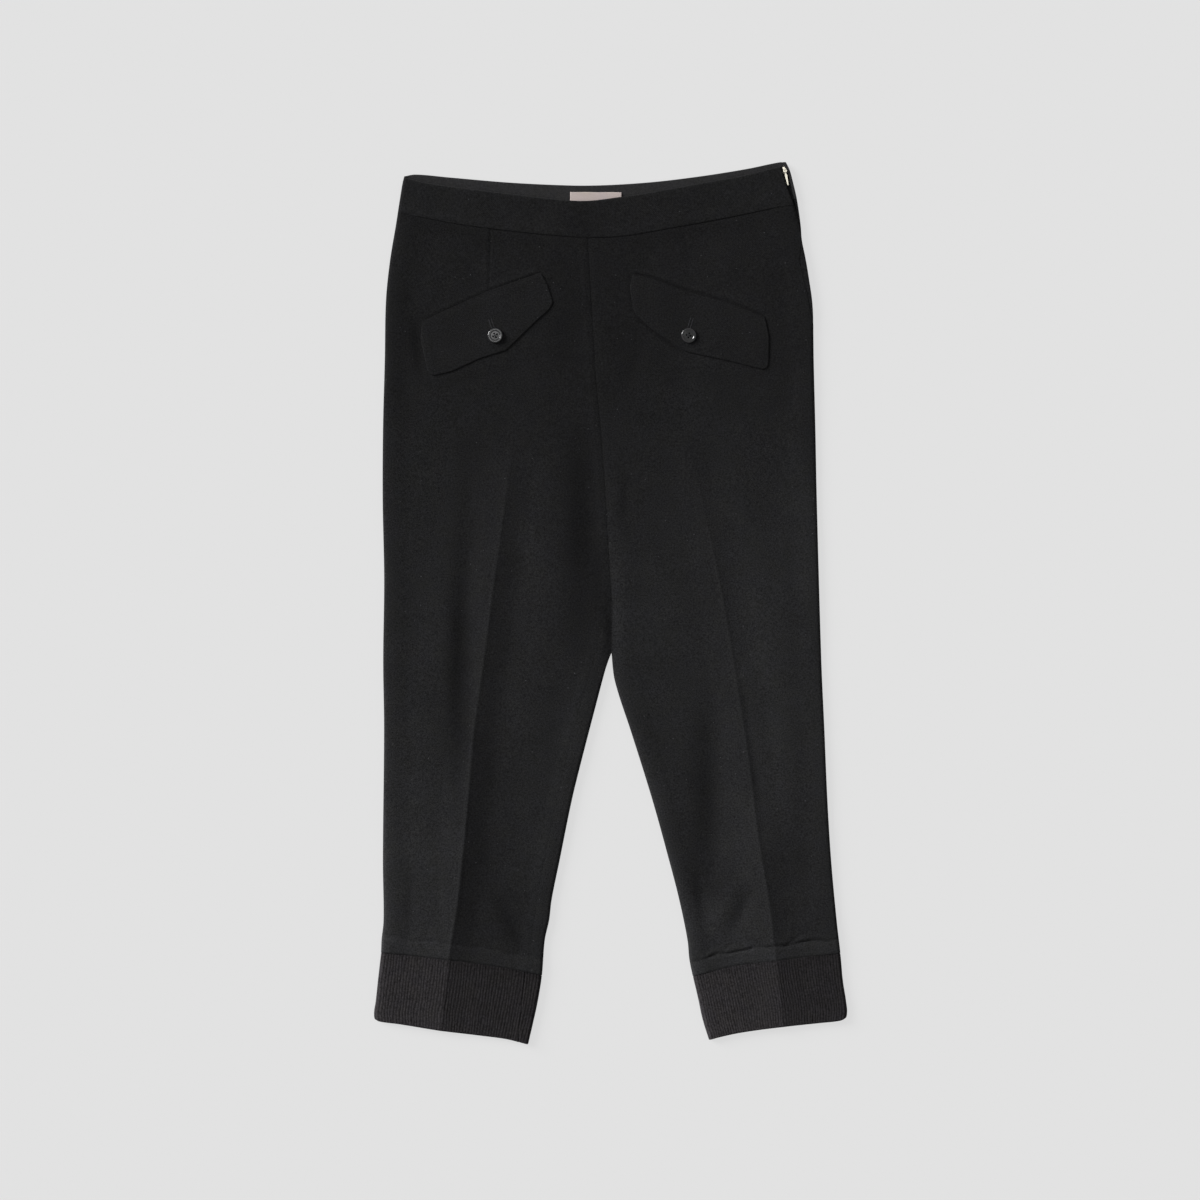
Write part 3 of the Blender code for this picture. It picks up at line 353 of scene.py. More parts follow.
# Painted shade and light on each front, partly the nap's own lie and partly shade in troughs and under
# the flaps' edges: ends, half width, share of the tone, sideways bow
SHADES_RIGHT = [
    ((573, 408), (588, 705), 25, -0.30, 3),
    ((598, 530), (603, 640), 10, -0.14, 0),
    ((608, 597), (610, 692), 5, -0.40, 0),
    ((562, 225), (578, 430), 27, -0.11, 0),
    ((502, 870), (522, 985), 24, -0.17, 0),
    ((458, 590), (455, 840), 8.5, -0.27, 0),
    ((469, 600), (466, 790), 6, -0.14, 0),
    ((413, 314), (418, 384), 7.5, -0.15, 0),
    ((531, 440), (528, 600), 14, 0.09, 0),
]
SHADES_LEFT = [
    ((614, 535), (619, 680), 6.5, 0.20, 0),
    ((621, 445), (624, 550), 8, -0.17, 0),
    ((618, 225), (624, 430), 27, -0.10, 0),
    ((794, 400), (798, 660), 24, 0.19, 0),
    ((696, 725), (700, 915), 14, -0.19, 0),
    ((708, 890), (716, 967), 13, 0.30, 0),
    ((800, 700), (802, 890), 15, -0.18, 0),
    ((731, 895), (735, 965), 15, 0.12, 0),
    ((631, 312), (686, 355.5), 2, -0.24, -1),
    ((631.5, 270), (631.5, 316), 1.8, -0.16, -1.6),
]
# The same kind of folds on the back, which lies on the table
FOLDS_BACK_RIGHT = [
    ((455, 300), (440, 470), 22, 0.7, 4),
    ((560, 430), (596, 600), 16, 0.8, -5),
    ((430, 560), (420, 800), 18, 0.6, 6),
    ((520, 640), (500, 860), 16, 0.5, -4),
]
FOLDS_BACK_LEFT = [
    ((752, 290), (770, 460), 20, 0.6, -4),
    ((650, 440), (622, 590), 15, 0.9, 5),
    ((690, 640), (715, 850), 17, 0.6, 5),
    ((790, 560), (800, 790), 16, 0.5, -5),
]
# Long low waves of the cloth: waves across and down in each 100 mm, phase, height
RIPPLES = [
    (0.9, 0.5, 0.4, 0.16), (-0.5, 1.3, 1.9, 0.12), (1.9, 0.35, 4, 0.09), (2.6, -1.1, 2.2, 0.05),
    (0.4, 2.4, 5.1, 0.05),
]
# Waist darts on the fronts: (down, across)
DART_RIGHT = [(228, 490.8), (258, 490.2), (289, 489.2)]
DART_LEFT = [(224, 684.8), (254, 687), (283, 689.5)]

# How light the cloth is down the leg, darker at the waist and lighter towards the ankle; then the
# painted light and shade that each side of the pressed crease adds, lighter on a side turned to the
# window and darker on one turned away: the sides' tables are (down, share), with where it peaks and how
# far it reaches
TONE_DOWN_LEG = [
    (230, 0.74), (350, 0.76), (400, 0.80), (450, 0.86), (500, 0.94), (560, 1.01), (620, 1.04),
    (800, 1.07), (950, 1.07),
]
CREASE_SIDE_SHADING_OUTER_RIGHT = ([
    (400, 0), (620, 0.02), (700, 0.07), (760, 0.12), (820, 0.22), (880, 0.27), (950, 0.30),
], 45, 75)
CREASE_SIDE_SHADING_INNER_RIGHT = ([
    (430, 0), (500, -0.10), (560, -0.14), (620, -0.16), (700, -0.19), (760, -0.29),
    (820, -0.32), (880, -0.36), (950, -0.32),
], 8, 14)
CREASE_SIDE_SHADING_OUTER_LEFT = ([
    (400, 0.05), (450, 0.08), (500, 0.13), (560, 0.20), (620, 0.26), (660, 0.33), (760, 0.33),
    (820, 0.18), (880, -0.02), (950, -0.12),
], 25, 26)
CREASE_SIDE_SHADING_INNER_LEFT = ([
    (400, 0), (560, 0), (620, 0), (700, 0.05), (760, 0.15), (820, 0.22), (880, 0.24), (950, 0.24),
], 14, 16)
CREASE_SIDE_SHADING_GROWTH = 20.0
# Share of painted shade in a fold's trough, and of painted light on a ridge, for each millimetre of its
# height
SHADE_OF_FOLDS = 0.085
# The edges that face the window look lighter: (down, share), and how far in that reaches
EDGE_GLOW = [(230, 0.15), (500, 0.18), (660, 0.24), (740, 0.42), (820, 0.48), (950, 0.7)]
EDGE_GLOW_REACH = 8.0

# What differs between the wearer's two legs. A button's lean is how far its face tips, in
# degrees (across, down), and its turn is about its own axis. A buttonhole's rows run from its
# first spot to its second. A flap's edge shading is a painted highlight just inside its edge
# and, on the left flap, painted shadow along its edge.
SIDES = {
    "right": dict(
        inward=1, outer=OUTER_RIGHT, inner=INNER_RIGHT, inseam=INSEAM_RIGHT, crease=CREASE_RIGHT,
        hem=HEM_RIGHT, cuff_end=CUFF_END_RIGHT, dart=DART_RIGHT, folds=FOLDS_RIGHT,
        folds_back=FOLDS_BACK_RIGHT, shades=SHADES_RIGHT, lit_edge=OUTER_RIGHT,
        nap_outer=CREASE_SIDE_SHADING_OUTER_RIGHT, nap_inner=CREASE_SIDE_SHADING_INNER_RIGHT, waist_level=213.0, dart_depth=0.42,
        allowance=0.3, stitch_pull=0.35, strip_wide=16.5, strip_light=0.17, hem_shade=[(0, 1.2, -0.38)],
        flap=FLAP_RIGHT, flap_cut=(0.149, 0.079), flap_area=0.0062, flap_tone=0.80,
        flap_edge=[(1.5, 0.8, 0.03)], button=(495.3, 335.7), button_lean=(-5.2, -5.0), button_turn=-18.0,
        buttonhole=((490.0, 319.0), (493.0, 328.0))),
    "left": dict(
        inward=-1, outer=OUTER_LEFT, inner=INNER_LEFT, inseam=INSEAM_LEFT, crease=CREASE_LEFT,
        hem=HEM_LEFT, cuff_end=CUFF_END_LEFT, dart=DART_LEFT, folds=FOLDS_LEFT,
        folds_back=FOLDS_BACK_LEFT, shades=SHADES_LEFT, lit_edge=INNER_LEFT,
        nap_outer=CREASE_SIDE_SHADING_OUTER_LEFT, nap_inner=CREASE_SIDE_SHADING_INNER_LEFT, waist_level=205.0, dart_depth=0.2,
        allowance=0.1, stitch_pull=1.0, strip_wide=14.7, strip_light=0.30, hem_shade=[(0, 1.2, -0.18)],
        flap=FLAP_LEFT, flap_cut=(0.14, 0.098), flap_area=0.0067, flap_tone=0.77,
        flap_edge=[(1.5, 0.8, 0.03), (0, 0.9, -0.14)], button=(688.7, 335.6),
        button_lean=(2.0, 1.0), button_turn=33.0,
        buttonhole=((692.0, 318.0), (689.0, 328.0))),
}

# Light, table and camera
TABLE_RADIANCE = 0.753
SKY_RADIANCE = 0.42
WINDOW_RADIANCE = 2.6
WINDOW_LEAN = (-0.19, 0.21)
WINDOW_OUTER = math.radians(9)
WINDOW_INNER = math.radians(4)
TABLE_HALF_WIDE = 3.0
TABLE_DROP = 0.2
TABLE_GREY = 0.1
TABLE_GLOW = 0.65
SUN_STRENGTH = 5.4
SUN_ELEVATION = math.radians(22)
SUN_WAY = (-0.86, 0.5)
SUN_SOFTNESS = math.radians(28)
CAMERA_HIGH = 3.005
LENS = 90.0
SENSOR_WIDE = 36.0
PHOTO_MIDDLE = (600.0, 600.0)


def smooth(table, at):
    """Reads a two-column table along a smooth curve through its rows, at one value or many."""
    keys, values = np.array(table, float).T[:2]
    slopes = np.empty(len(keys))
    slopes[1:-1] = (values[2:] - values[:-2]) / (keys[2:] - keys[:-2])
    slopes[0] = (values[1] - values[0]) / (keys[1] - keys[0])
    slopes[-1] = (values[-1] - values[-2]) / (keys[-1] - keys[-2])
    at = np.clip(at, keys[0], keys[-1])
    row = np.clip(np.searchsorted(keys, at, side="right") - 1, 0, len(keys) - 2)
    span = keys[row + 1] - keys[row]
    s = (at - keys[row]) / span
    bend = s * s * (3 - 2 * s)
    leave = s * (1 - s) * (1 - s) * slopes[row] * span
    arrive = s * s * (s - 1) * slopes[row + 1] * span
    return values[row] + (values[row + 1] - values[row]) * bend + leave + arrive


def along(table, share):
    """Reads a (share, across, down) table at many shares, along straight runs."""
    shares, acrosses, downs = zip(*table)
    return np.stack([np.interp(share, shares, acrosses), np.interp(share, shares, downs)], -1)


def ease(value):
    """Rises softly from 0 to 1 as the value does."""
    value = np.clip(value, 0.0, 1.0)
    return value * value * (3 - 2 * value)


def mix(low, high, share):
    return low + (high - low) * share


def bell(distance, width):
    return np.exp(-(distance / width) ** 2)


def lines_beside(distance, rows):
    """Soft lines at each distance: their middles, half widths and heights or shares of the tone."""
    return sum(rise * bell(distance - middle, half_width) for middle, half_width, rise in rows)


def place(across, down, height):
    """Turns spots on the table, in millimetres, into points of the frame, in metres."""
    spots = (across - TABLE_MIDDLE_ACROSS, TABLE_MIDDLE_DOWN - down, height)
    return np.stack(np.broadcast_arrays(*spots), axis=-1) * MM


def puff(distance):
    """The soft swell of the cloth beside a folded edge, 1 at its crest."""
    return np.maximum(0.0, 1 - ((distance - EDGE_PUFF_CREST) / EDGE_PUFF_REACH) ** 2) ** 2


def rounding(distance, radius):
    """How far a rounded edge has dropped, at a distance in from the edge."""
    short = np.clip(radius - distance, 0.0, radius)
    return radius - np.sqrt(radius ** 2 - short ** 2)


def ripple(across, down):
    """Height of the long low waves at each spot."""
    turns = (((across * waves_across + down * waves_down) / 100 * 2 * math.pi + phase, rise)
             for waves_across, waves_down, phase, rise in RIPPLES)
    return sum(rise * np.sin(turn) for turn, rise in turns)


def fold(across, down, line):
    """Height of one soft fold at each spot: its ends, half width, height and bow."""
    (start_across, start_down), (end_across, end_down), half_width, rise, bow = line
    run = math.hypot(end_across - start_across, end_down - start_down)
    step_across = (end_across - start_across) / run
    step_down = (end_down - start_down) / run
    share = ((across - start_across) * step_across + (down - start_down) * step_down) / run
    off_line = (across - start_across) * step_down - (down - start_down) * step_across
    share = np.clip(share, 0.0, 1.0)
    off_line = off_line - bow * 4 * share * (1 - share)
    return rise * np.sin(math.pi * share) ** 0.8 * bell(off_line, half_width)


def folds(across, down, lines):
    return sum(fold(across, down, line) for line in lines)


def opening_rise(down):
    """How much further the cloth beside the zip stands up below the waistband."""
    return 0.8 * ease((down - 215) / 25)


class Leg:
    """One leg's lines and looks, as its row of SIDES names them, and the forms they make.

    inward is the sign that points from its outer edge to its inner edge.
    """

    def __init__(self, side):
        self.side = side
        vars(self).update(SIDES[side])

    def hem_row(self):
        """The hem's line, and how far down its outer end is."""
        return self.hem, float(smooth(self.hem, smooth(self.outer, HEM_DOWN)))

    def front_outer(self, down):
        """The front's outer edge, which leaves the silhouette along the zip opening."""
        outer = smooth(self.outer, down)
        if self.side == "left":
            return np.where(down < OPENING_END_DOWN + 5, smooth(OPENING_EDGE, down), outer)
        return outer

    def front_inner(self, down):
        """The front's inner edge: the centre front, then the inseam."""
        inseam = smooth(self.inseam, down)
        return np.where(down < SEAMS_MEET_DOWN, smooth(CENTRE_FRONT, down), inseam)

    def ridge(self, across, down):
        """The pressed crease, with a crisp crown."""
        off_crease = np.abs(across - smooth(self.crease, down))
        slope = np.maximum(0.0, 1 - off_crease / CREASE_HALF_WIDTH) ** CREASE_CURL
        return smooth(CREASE_HEIGHT, down) * (slope + lines_beside(off_crease, CREASE_CROWN))

    def strip_top(self, across):
        """Where the turned strip above the cuff ends: a line that the stitching pulls wavy."""
        wave = 0.9 * np.sin(across / 7.3 + 1.0) + 0.7 * np.sin(across / 3.9) * np.sin(across / 17.0)
        return smooth(self.hem, across) - self.strip_wide + wave

    def tug(self, across):
        """How strongly the strip's stitching pulls at the cloth, in an uneven rhythm."""
        wave = np.sin(across / 5.3) + np.sin(across / 11.7 + 2.0) + 0.8 * np.sin(across / 2.9 + 1.0)
        return ease(0.5 + 0.28 * wave)

    def marks(self, across, down):
        """How far each spot is from the inner seam, the waist, the hem and the flap's seam,
        with 1 where the first is the centre seam and 1 where the last runs."""
        acrosses, downs = ([row[column] for row in self.flap["seam"]] for column in (1, 2))
        from_seam = np.abs(across - self.front_inner(down))
        from_waist = down - smooth(FRONT_BAND_SEAM, across)
        from_hem = smooth(self.hem, across) - down
        from_flap = down - np.interp(across, acrosses, downs)
        at_centre = ease((SEAMS_MEET_DOWN + 8 - down) / 16)
        at_flap = ease((across - acrosses[0]) / 4) * ease((acrosses[-1] - across) / 4)
        return from_seam, from_waist, from_hem, from_flap, at_centre, at_flap

    def lie(self, across, down):
        """Height of the front's outer face, before its edges roll down."""
        from_outer = np.abs(across - smooth(self.outer, down))
        below_crotch = down - CROTCH_DOWN
        from_inner = np.hypot(across - smooth(self.inner, down), np.minimum(0.0, below_crotch))
        height = LEG_LIE + EDGE_PUFF * (puff(from_outer) + puff(from_inner))
        height = height + self.ridge(across, down)
        height = height + ANKLE_STEP * ease((down - self.strip_top(across)) / 4 + 0.25)
        from_centre = across - smooth(CENTRE_FRONT, down)
        return height + lines_beside(from_centre, CENTRE_DIP) * ease(-below_crotch / 20)

    def drape(self, across, down):
        """What the cloth adds to its even lie: folds, darts, seams and the strip's stitching."""
        from_seam, from_waist, from_hem, from_flap, at_centre, at_flap = self.marks(across, down)
        off_dart = (across - smooth(self.dart, down)) * self.inward
        dart_depth = self.dart_depth * ease((self.dart[-1][0] - down) / 6)
        above_strip = self.strip_top(across) - down
        tug = self.tug(across)
        pulled = mix(0.2, 0.9, tug) * bell(above_strip - 3.2, 2.4)
        pulled = pulled - mix(0.3, 0.9, tug) * bell(above_strip, 0.9)
        height = ripple(across, down) + folds(across, down, self.folds) + pulled * self.stitch_pull
        height = height + dart_depth * lines_beside(off_dart, DART_LINES)
        height = height + self.allowance * ease((9 - from_seam) / 3) * mix(0.4, 1, at_centre)
        height = height - mix(0.08, 0.15, at_centre) * bell(from_seam, 0.8)
        height = height + lines_beside(from_waist, WAIST_LINES) + lines_beside(from_hem, HEM_LINES)
        return height + lines_beside(from_flap, FLAP_SEAM_LINES) * at_flap

    def under_flap(self, across, down):
        """Height of the front where its flap lies on it, without seams and darts."""
        return self.lie(across, down) + ripple(across, down) + folds(across, down, self.folds)

    def tone_with_painted_light(self, across, down):
        """How light the cloth is at each spot, about 1: its tone down the leg, with painted light
        and shade on the crease's sides, the lit edges, the folds and patches, and along the seams.
        """
        from_seam, from_waist, from_hem, from_flap, at_centre, at_flap = self.marks(across, down)
        off_crease = (across - smooth(self.crease, down)) * self.inward
        tone = smooth(TONE_DOWN_LEG, down)
        growth = CREASE_SIDE_SHADING_GROWTH * ease((down - 600) / 300)
        # Painted light on the side of the crease turned to the window and painted shade on the side
        # turned away
        for (table, peak, reach), way in ((self.nap_outer, -1), (self.nap_inner, 1)):
            off = off_crease * way
            tone = tone + smooth(table, down) * ease(off / 4 + 0.5) * bell(off - peak, reach + growth)
        above_edge = np.maximum(self.lit_edge[0][0] - down, 0)
        from_edge = np.hypot(across - smooth(self.lit_edge, down), above_edge)
        tone = tone + smooth(EDGE_GLOW, down) * bell(from_edge, EDGE_GLOW_REACH)
        # Painted shade in the folds' troughs and painted light on their ridges, then a painted highlight
        # along the crease
        tone = tone + SHADE_OF_FOLDS * folds(across, down, self.folds)
        tone = tone + lines_beside(off_crease, CREASE_LIGHT) * ease((down - 430) / 120)
        # Painted shadow along the top of the turned strip, where its stitching pulls; below it the strip
        # is lighter
        below_strip = down - self.strip_top(across)
        stitched_edge_shadow = 0.25 * bell(below_strip, 0.8) * self.tug(across) * self.stitch_pull
        tone = tone + self.strip_light * ease(below_strip / 2) - stitched_edge_shadow
        # Painted shade and light in patches, then painted shade along the inner seam, the fork, the
        # flap's seam, the waist and the hem
        tone = tone + folds(across, down, self.shades)
        tone = tone * (1 - mix(0.05, 0.11, at_centre) * bell(from_seam, 1.0))
        on_fork = ease((CROTCH_DOWN + 4 - down) / 8) * (1 - at_centre)
        from_centre = across - smooth(CENTRE_FRONT, down)
        tone = tone * (1 + lines_beside(from_centre, FORK_SHADE) * on_fork)
        tone = tone * (1 + lines_beside(from_flap, FLAP_SEAM_SHADE) * at_flap)
        at_ends = lines_beside(from_waist, WAIST_SHADE) + lines_beside(from_hem, self.hem_shade)
        return tone * (1 + at_ends)


def level_down(level, across, top, hem):
    """Bends a straight row so that it follows the top seam and the hem near them."""
    from_top = 1 - ease((level - top[1]) / WAIST_BLEND)
    from_hem = 1 - ease((hem[1] - level) / HEM_BLEND)
    bow = (smooth(top[0], across) - top[1]) * from_top
    return level + bow + (smooth(hem[0], across) - hem[1]) * from_hem


def settle(stations, levels, top, hem):
    """Finds where each column and each bent row cross, as two grids.

    top and hem are a line and the level that its straight row would have.
    """
    columns = []
    for station in stations:
        down = levels
        for _ in range(5):
            down = level_down(levels, station(down), top, hem)
        columns.append((station(down), down))
    across, down = zip(*columns)
    return np.stack(across, axis=1), np.stack(down, axis=1)


def spaced(start, end, step):
    """Values from start up to end, without end, about a step apart."""
    count = max(1, round(abs(end - start) / step))
    return np.linspace(start, end, count, endpoint=False)


def edged(edge, start, end, step, whole):
    """Values from 0 to the whole, close together at both edges and a step apart between them."""
    edge = np.array(edge)
    return np.concatenate([edge, spaced(start, end, step), whole - edge[::-1]])


# Meshes

trousers = bpy.data.collections.new("cropped_trousers_looks")
bpy.context.scene.collection.children.link(trousers)


def new_piece(name, mesh, material, node, body="garment"):
    """Puts a mesh in the scene as a piece of the trousers, in the place of a CAD node."""
    mesh.materials.clear()
    mesh.materials.append(material)
    piece = bpy.data.objects.new(name, mesh)
    trousers.objects.link(piece)
    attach(piece, body)
    if node:
        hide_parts(node)
    return piece


def cloth(node, ending, outer, inner, tone, material, flat, slot="wool", rests_on=(), area=None,
          **form):
    """Puts a cloth shell in the place of its node."""
    name = node + ending
    mesh = shell(name, outer, inner, tone, **form)
    piece = new_piece(name, mesh, material, node)
    return piece


def grid_normals(points, facing, closed):
    """The normal at each point of a grid whose columns may close into a ring.

    They point up, down or out, which is the way that the cloth's outer face does. The second
    value says whether they had to be turned round.
    """
    if closed:
        across_way = np.roll(points, -1, axis=1) - np.roll(points, 1, axis=1)
    else:
        across_way = np.gradient(points, axis=1)
    normals = np.cross(np.gradient(points, axis=0), across_way)
    normals = normals / np.maximum(np.linalg.norm(normals, axis=2, keepdims=True), 1e-12)
    ways = {"up": 1, "down": -1, "out": points[..., 2] - points[..., 2].mean()}
    turned = (ways[facing] * normals[..., 2]).sum() <= 0
    return -normals if turned else normals, turned


def shell(name, outer, inner, tone=1.0, facing="up", keep=None, inner_cells=None, closed=False):
    """A thin cloth shell: an outer grid of points, an inner one and the rims that join them.

    inner is a grid too, or the wall in millimetres. keep marks the cells that are cloth.
    inner_cells leaves out the inner face further than that many cells from a rim, where
    nothing can see it.
    """
    rows, columns = outer.shape[:2]
    count = rows * columns
    normals, turned = grid_normals(outer, facing, closed)
    if np.isscalar(inner):
        inner = outer - normals * inner * MM
    index = np.arange(count).reshape(rows, columns)
    beside = np.roll(index, -1, axis=1)
    corners = [index[:-1], index[1:], beside[1:], beside[:-1]]
    if not closed:
        corners = [corner[:, :-1] for corner in corners]
    kept = np.ones(corners[0].shape, bool) if keep is None else keep

    def moved(cells, axis, step):
        """The cells moved one place, with none coming in over an open edge."""
        cells = np.roll(cells, step, axis=axis)
        entered = 0 if step > 0 else -1
        if axis == 0:
            cells[entered] = False
        elif not closed:
            cells[:, entered] = False
        return cells

    neighbours = [(1, 1), (0, -1), (1, -1), (0, 1)]
    inner_kept = kept
    if inner_cells:
        core = kept
        for _ in range(inner_cells):
            core = core & np.all([moved(core, *way) for way in neighbours], axis=0)
        inner_kept = kept & ~core
    a, d, c, b = corners
    faces = [np.stack([a, d, c, b], axis=-1)[kept],
             np.stack([a, b, c, d], axis=-1)[inner_kept] + count]
    for (p, q), way in zip(((a, d), (d, c), (c, b), (b, a)), neighbours):
        free = kept & ~moved(kept, *way)
        faces.append(np.stack([q[free], p[free], p[free] + count, q[free] + count], axis=-1))
    faces = np.concatenate(faces)
    if turned:
        faces = faces[:, ::-1]
    points = np.concatenate([outer.reshape(-1, 3), inner.reshape(-1, 3)])
    used, faces = np.unique(faces, return_inverse=True)
    mesh = bpy.data.meshes.new(name)
    mesh.from_pydata(points[used].tolist(), [], faces.reshape(-1, 4).tolist())
    tones = np.broadcast_to(tone, (rows, columns)).ravel()
    return finished(mesh, np.concatenate([tones, tones])[used], 55)


def finished(mesh, tones, sharp):
    """Stores how light the colour is at each point, and smooths all but the sharp edges."""
    layer = mesh.attributes.new("tone", "FLOAT", "POINT")
    tones = np.broadcast_to(tones, len(mesh.vertices))
    layer.data.foreach_set("value", np.array(tones, np.float32))
    mesh.shade_smooth()
    mesh.set_sharp_from_angle(angle=math.radians(sharp))
    return mesh


def mesh_from(name, shape):
    """The mesh of a bmesh, which is then freed."""
    mesh = bpy.data.meshes.new(name)
    shape.to_mesh(mesh)
    shape.free()
    return mesh


def linked(item):
    """Puts an object in the scene beside the trousers."""
    bpy.context.scene.collection.objects.link(item)
    return item


# Cloth pieces

ROLL_ANGLES = np.radians(np.arange(0, 91, 15))
ROLL_IN = EDGE_ROLL * (1 - np.cos(ROLL_ANGLES))
ROLL_UP = np.sin(ROLL_ANGLES)
ROLLED = len(ROLL_ANGLES)


def front_panel(leg, material):
    """A front leg panel, from the waist seam to the ankle, with its creases and darts."""
    top = (FRONT_BAND_SEAM, leg.waist_level)
    hem = leg.hem_row()
    first = top[1] + SEAM_GAP / 2
    last = hem[1] - SEAM_GAP / 2
    levels = np.concatenate([
        spaced(first, first + 6, 0.8), spaced(first + 6, last - 26, FRONT_CELL),
        spaced(last - 26, last, 1.0), [last]])

    def from_outer(inset):
        return lambda down: leg.front_outer(down) + leg.inward * inset

    def from_crease(offset):
        return lambda down: smooth(leg.crease, down) + leg.inward * offset

    def from_seam(inset):
        return lambda down: leg.front_inner(down) - leg.inward * (inset + SEAM_GAP / 2)

    def between(first_station, second_station, share):
        return lambda down: mix(first_station(down), second_station(down), share)

    shares = spaced(0, 1, 1 / 46)[1:]
    stations = [from_outer(inset) for inset in ROLL_IN]
    stations += [between(from_outer(EDGE_ROLL), from_crease(-24), share) for share in shares]
    stations += [from_crease(offset) for offset in np.arange(-24, 10.5, 1.0)]
    stations += [between(from_crease(10), from_seam(6), share) for share in shares]
    stations += [from_seam(inset) for inset in (6, 5, 4, 3, 2.3, 1.6, 1.1, 0.7, 0.35, 0)]
    across, down = settle(stations, levels, top, hem)
    height = leg.lie(across, down) + leg.drape(across, down)
    low = EDGE_MIDDLE + SEAM_GAP / 2
    if leg.side == "left":
        side = down[:, :1]
        low = mix(OPENING_LIE + opening_rise(side), low, ease((side - OPENING_END_DOWN + 4) / 12))
    height[:, :ROLLED] = mix(low, height[:, :ROLLED], ROLL_UP)
    cloth("front_" + leg.side, "_cloth", place(across, down, height), LEG_WALL,
          leg.tone_with_painted_light(across, down), material, (0.218, 0.745), area=0.1345, inner_cells=4,
          rests_on=["back_%s_cloth" % leg.side])


def fold_roll(down):
    """Radius of the fold along the inner leg, which closes up at the crotch."""
    return EDGE_ROLL * ease((down - CROTCH_DOWN) / 40)


def underside(leg, across, down):
    """Height of the back's outer face, which touches the table along its crease and folds."""
    pressed = bell(across - smooth(leg.crease, down), 9.0) * ease((down - 430) / 120)
    height = 0.35 + 0.5 * folds(across, down, leg.folds_back) + 0.8 * ripple(across, down)
    from_centre = across - smooth(CENTRE_BACK, down)
    seam = lines_beside(from_centre, BACK_SEAM_LINES) * ease((CROTCH_DOWN + 6 - down) / 6)
    return np.maximum(height * (1 - pressed), 0.0) + seam


def back_panel(leg, material):
    """A back leg panel: soft underneath, folded round the inner leg, up to the inseam."""
    seam_line = [(across, down + BAND_HEIGHT) for across, down in BACK_BAND_TOP]
    top = (seam_line, float(smooth(BACK_BAND_TOP, smooth(leg.outer, 200))) + BAND_HEIGHT)
    hem = leg.hem_row()
    first = top[1] + CLOSE_GAP / 2
    last = hem[1] - SEAM_GAP / 2
    levels = np.concatenate([
        spaced(first, FORK_DOWN, BACK_CELL), spaced(FORK_DOWN, CROTCH_DOWN, 1.6),
        spaced(CROTCH_DOWN, last - 24, BACK_CELL), spaced(last - 24, last, 1.2), [last]])

    def edge(line, down):
        centre = smooth(line, down) - leg.inward * CLOSE_GAP / 2
        return np.where(down <= CROTCH_DOWN, centre, smooth(leg.inner, down))

    def rolled(inset):
        return lambda down: smooth(leg.outer, down) + leg.inward * inset

    def flat(share):
        return lambda down: mix(
            smooth(leg.outer, down) + leg.inward * EDGE_ROLL,
            edge(CENTRE_BACK, down) - leg.inward * fold_roll(down), share)

    def folded(angle):
        line = CENTRE_BACK if angle >= 0 else CENTRE_FRONT
        return lambda down: edge(line, down) - leg.inward * fold_roll(down) * (1 - math.cos(angle))

    def strip(share):
        return lambda down: mix(
            edge(CENTRE_FRONT, down) - leg.inward * fold_roll(down),
            smooth(leg.inseam, down) + leg.inward * SEAM_GAP / 2, share)

    fold_angles = np.radians(np.arange(90, -91, -15))
    stations = [rolled(inset) for inset in ROLL_IN]
    stations += [flat(share) for share in spaced(0, 1, 1 / 58)[1:]]
    fold_start = len(stations)
    stations += [folded(angle) for angle in fold_angles]
    strip_start = len(stations)
    stations += [strip(share) for share in [*spaced(0, 1, 1 / 9)[1:], 1.0]]
    across, down = settle(stations, levels, top, hem)
    surface = leg.lie(across, down) + leg.drape(across, down)
    under = underside(leg, across, down)
    height = surface.copy()
    inner = surface - LEG_WALL
    inner_across = across.copy()

    sides = np.s_[:, :ROLLED]
    at = down[sides]
    at_opening = ease((OPENING_END_DOWN - at) / 10) if leg.side == "left" else 0.0
    edge_top = mix(EDGE_MIDDLE - SEAM_GAP / 2, OPENING_FOLD - 0.6 + opening_rise(at), at_opening)
    height[sides] = mix(edge_top, under[sides], ROLL_UP)
    inner[sides] = np.maximum(height[sides], LEG_WALL)
    beside = smooth(OUTER_LEFT, at) - smooth(OPENING_EDGE, at) - mix(0.7, 0.2, ease((at - 232) / 10))
    strip_wide = mix(2.6, np.maximum(beside, 2.6), ease((at - 236) / 10))
    inner_across[sides] += leg.inward * mix(LEG_WALL, strip_wide, at_opening) * np.cos(ROLL_ANGLES)

    flats = np.s_[:, ROLLED:fold_start]
    height[flats] = under[flats]
    inner[flats] = under[flats] + LEG_WALL

    bent = np.s_[:, fold_start:strip_start]
    lift = np.abs(np.sin(fold_angles))
    below = np.sin(fold_angles) >= 0
    height[bent] = mix(EDGE_MIDDLE, np.where(below, under[bent], surface[bent]), lift)
    inside = np.where(below, LEG_WALL, inner[bent])
    bend = np.maximum(fold_roll(down[bent]) - LEG_WALL, 0) * (1 - np.cos(fold_angles))
    closed_in = edge(CENTRE_BACK, down[bent]) - leg.inward * (LEG_WALL + bend)
    above_crotch = down[bent] < CROTCH_DOWN
    inner_across[bent] = np.where(above_crotch, across[bent], closed_in)
    inner[bent] = np.where(above_crotch, inside, mix(EDGE_MIDDLE, inside, lift))

    column = np.arange(len(stations))
    level = levels[:, None]
    reached = (level >= CROTCH_DOWN) | (column <= fold_start)
    reached = reached | (level >= FORK_DOWN) & (column >= strip_start - 1)
    keep = reached[1:, 1:] & reached[:-1, 1:] & reached[1:, :-1] & reached[:-1, :-1]
    tone = leg.tone_with_painted_light(across, down) * np.where(column >= strip_start, 1.03, 1.0)
    cloth("back_" + leg.side, "_cloth", place(across, down, height),
          place(inner_across, down, inner), tone, material, (0.232, 0.745), area=0.152,
          facing="down", keep=keep, inner_cells=3)


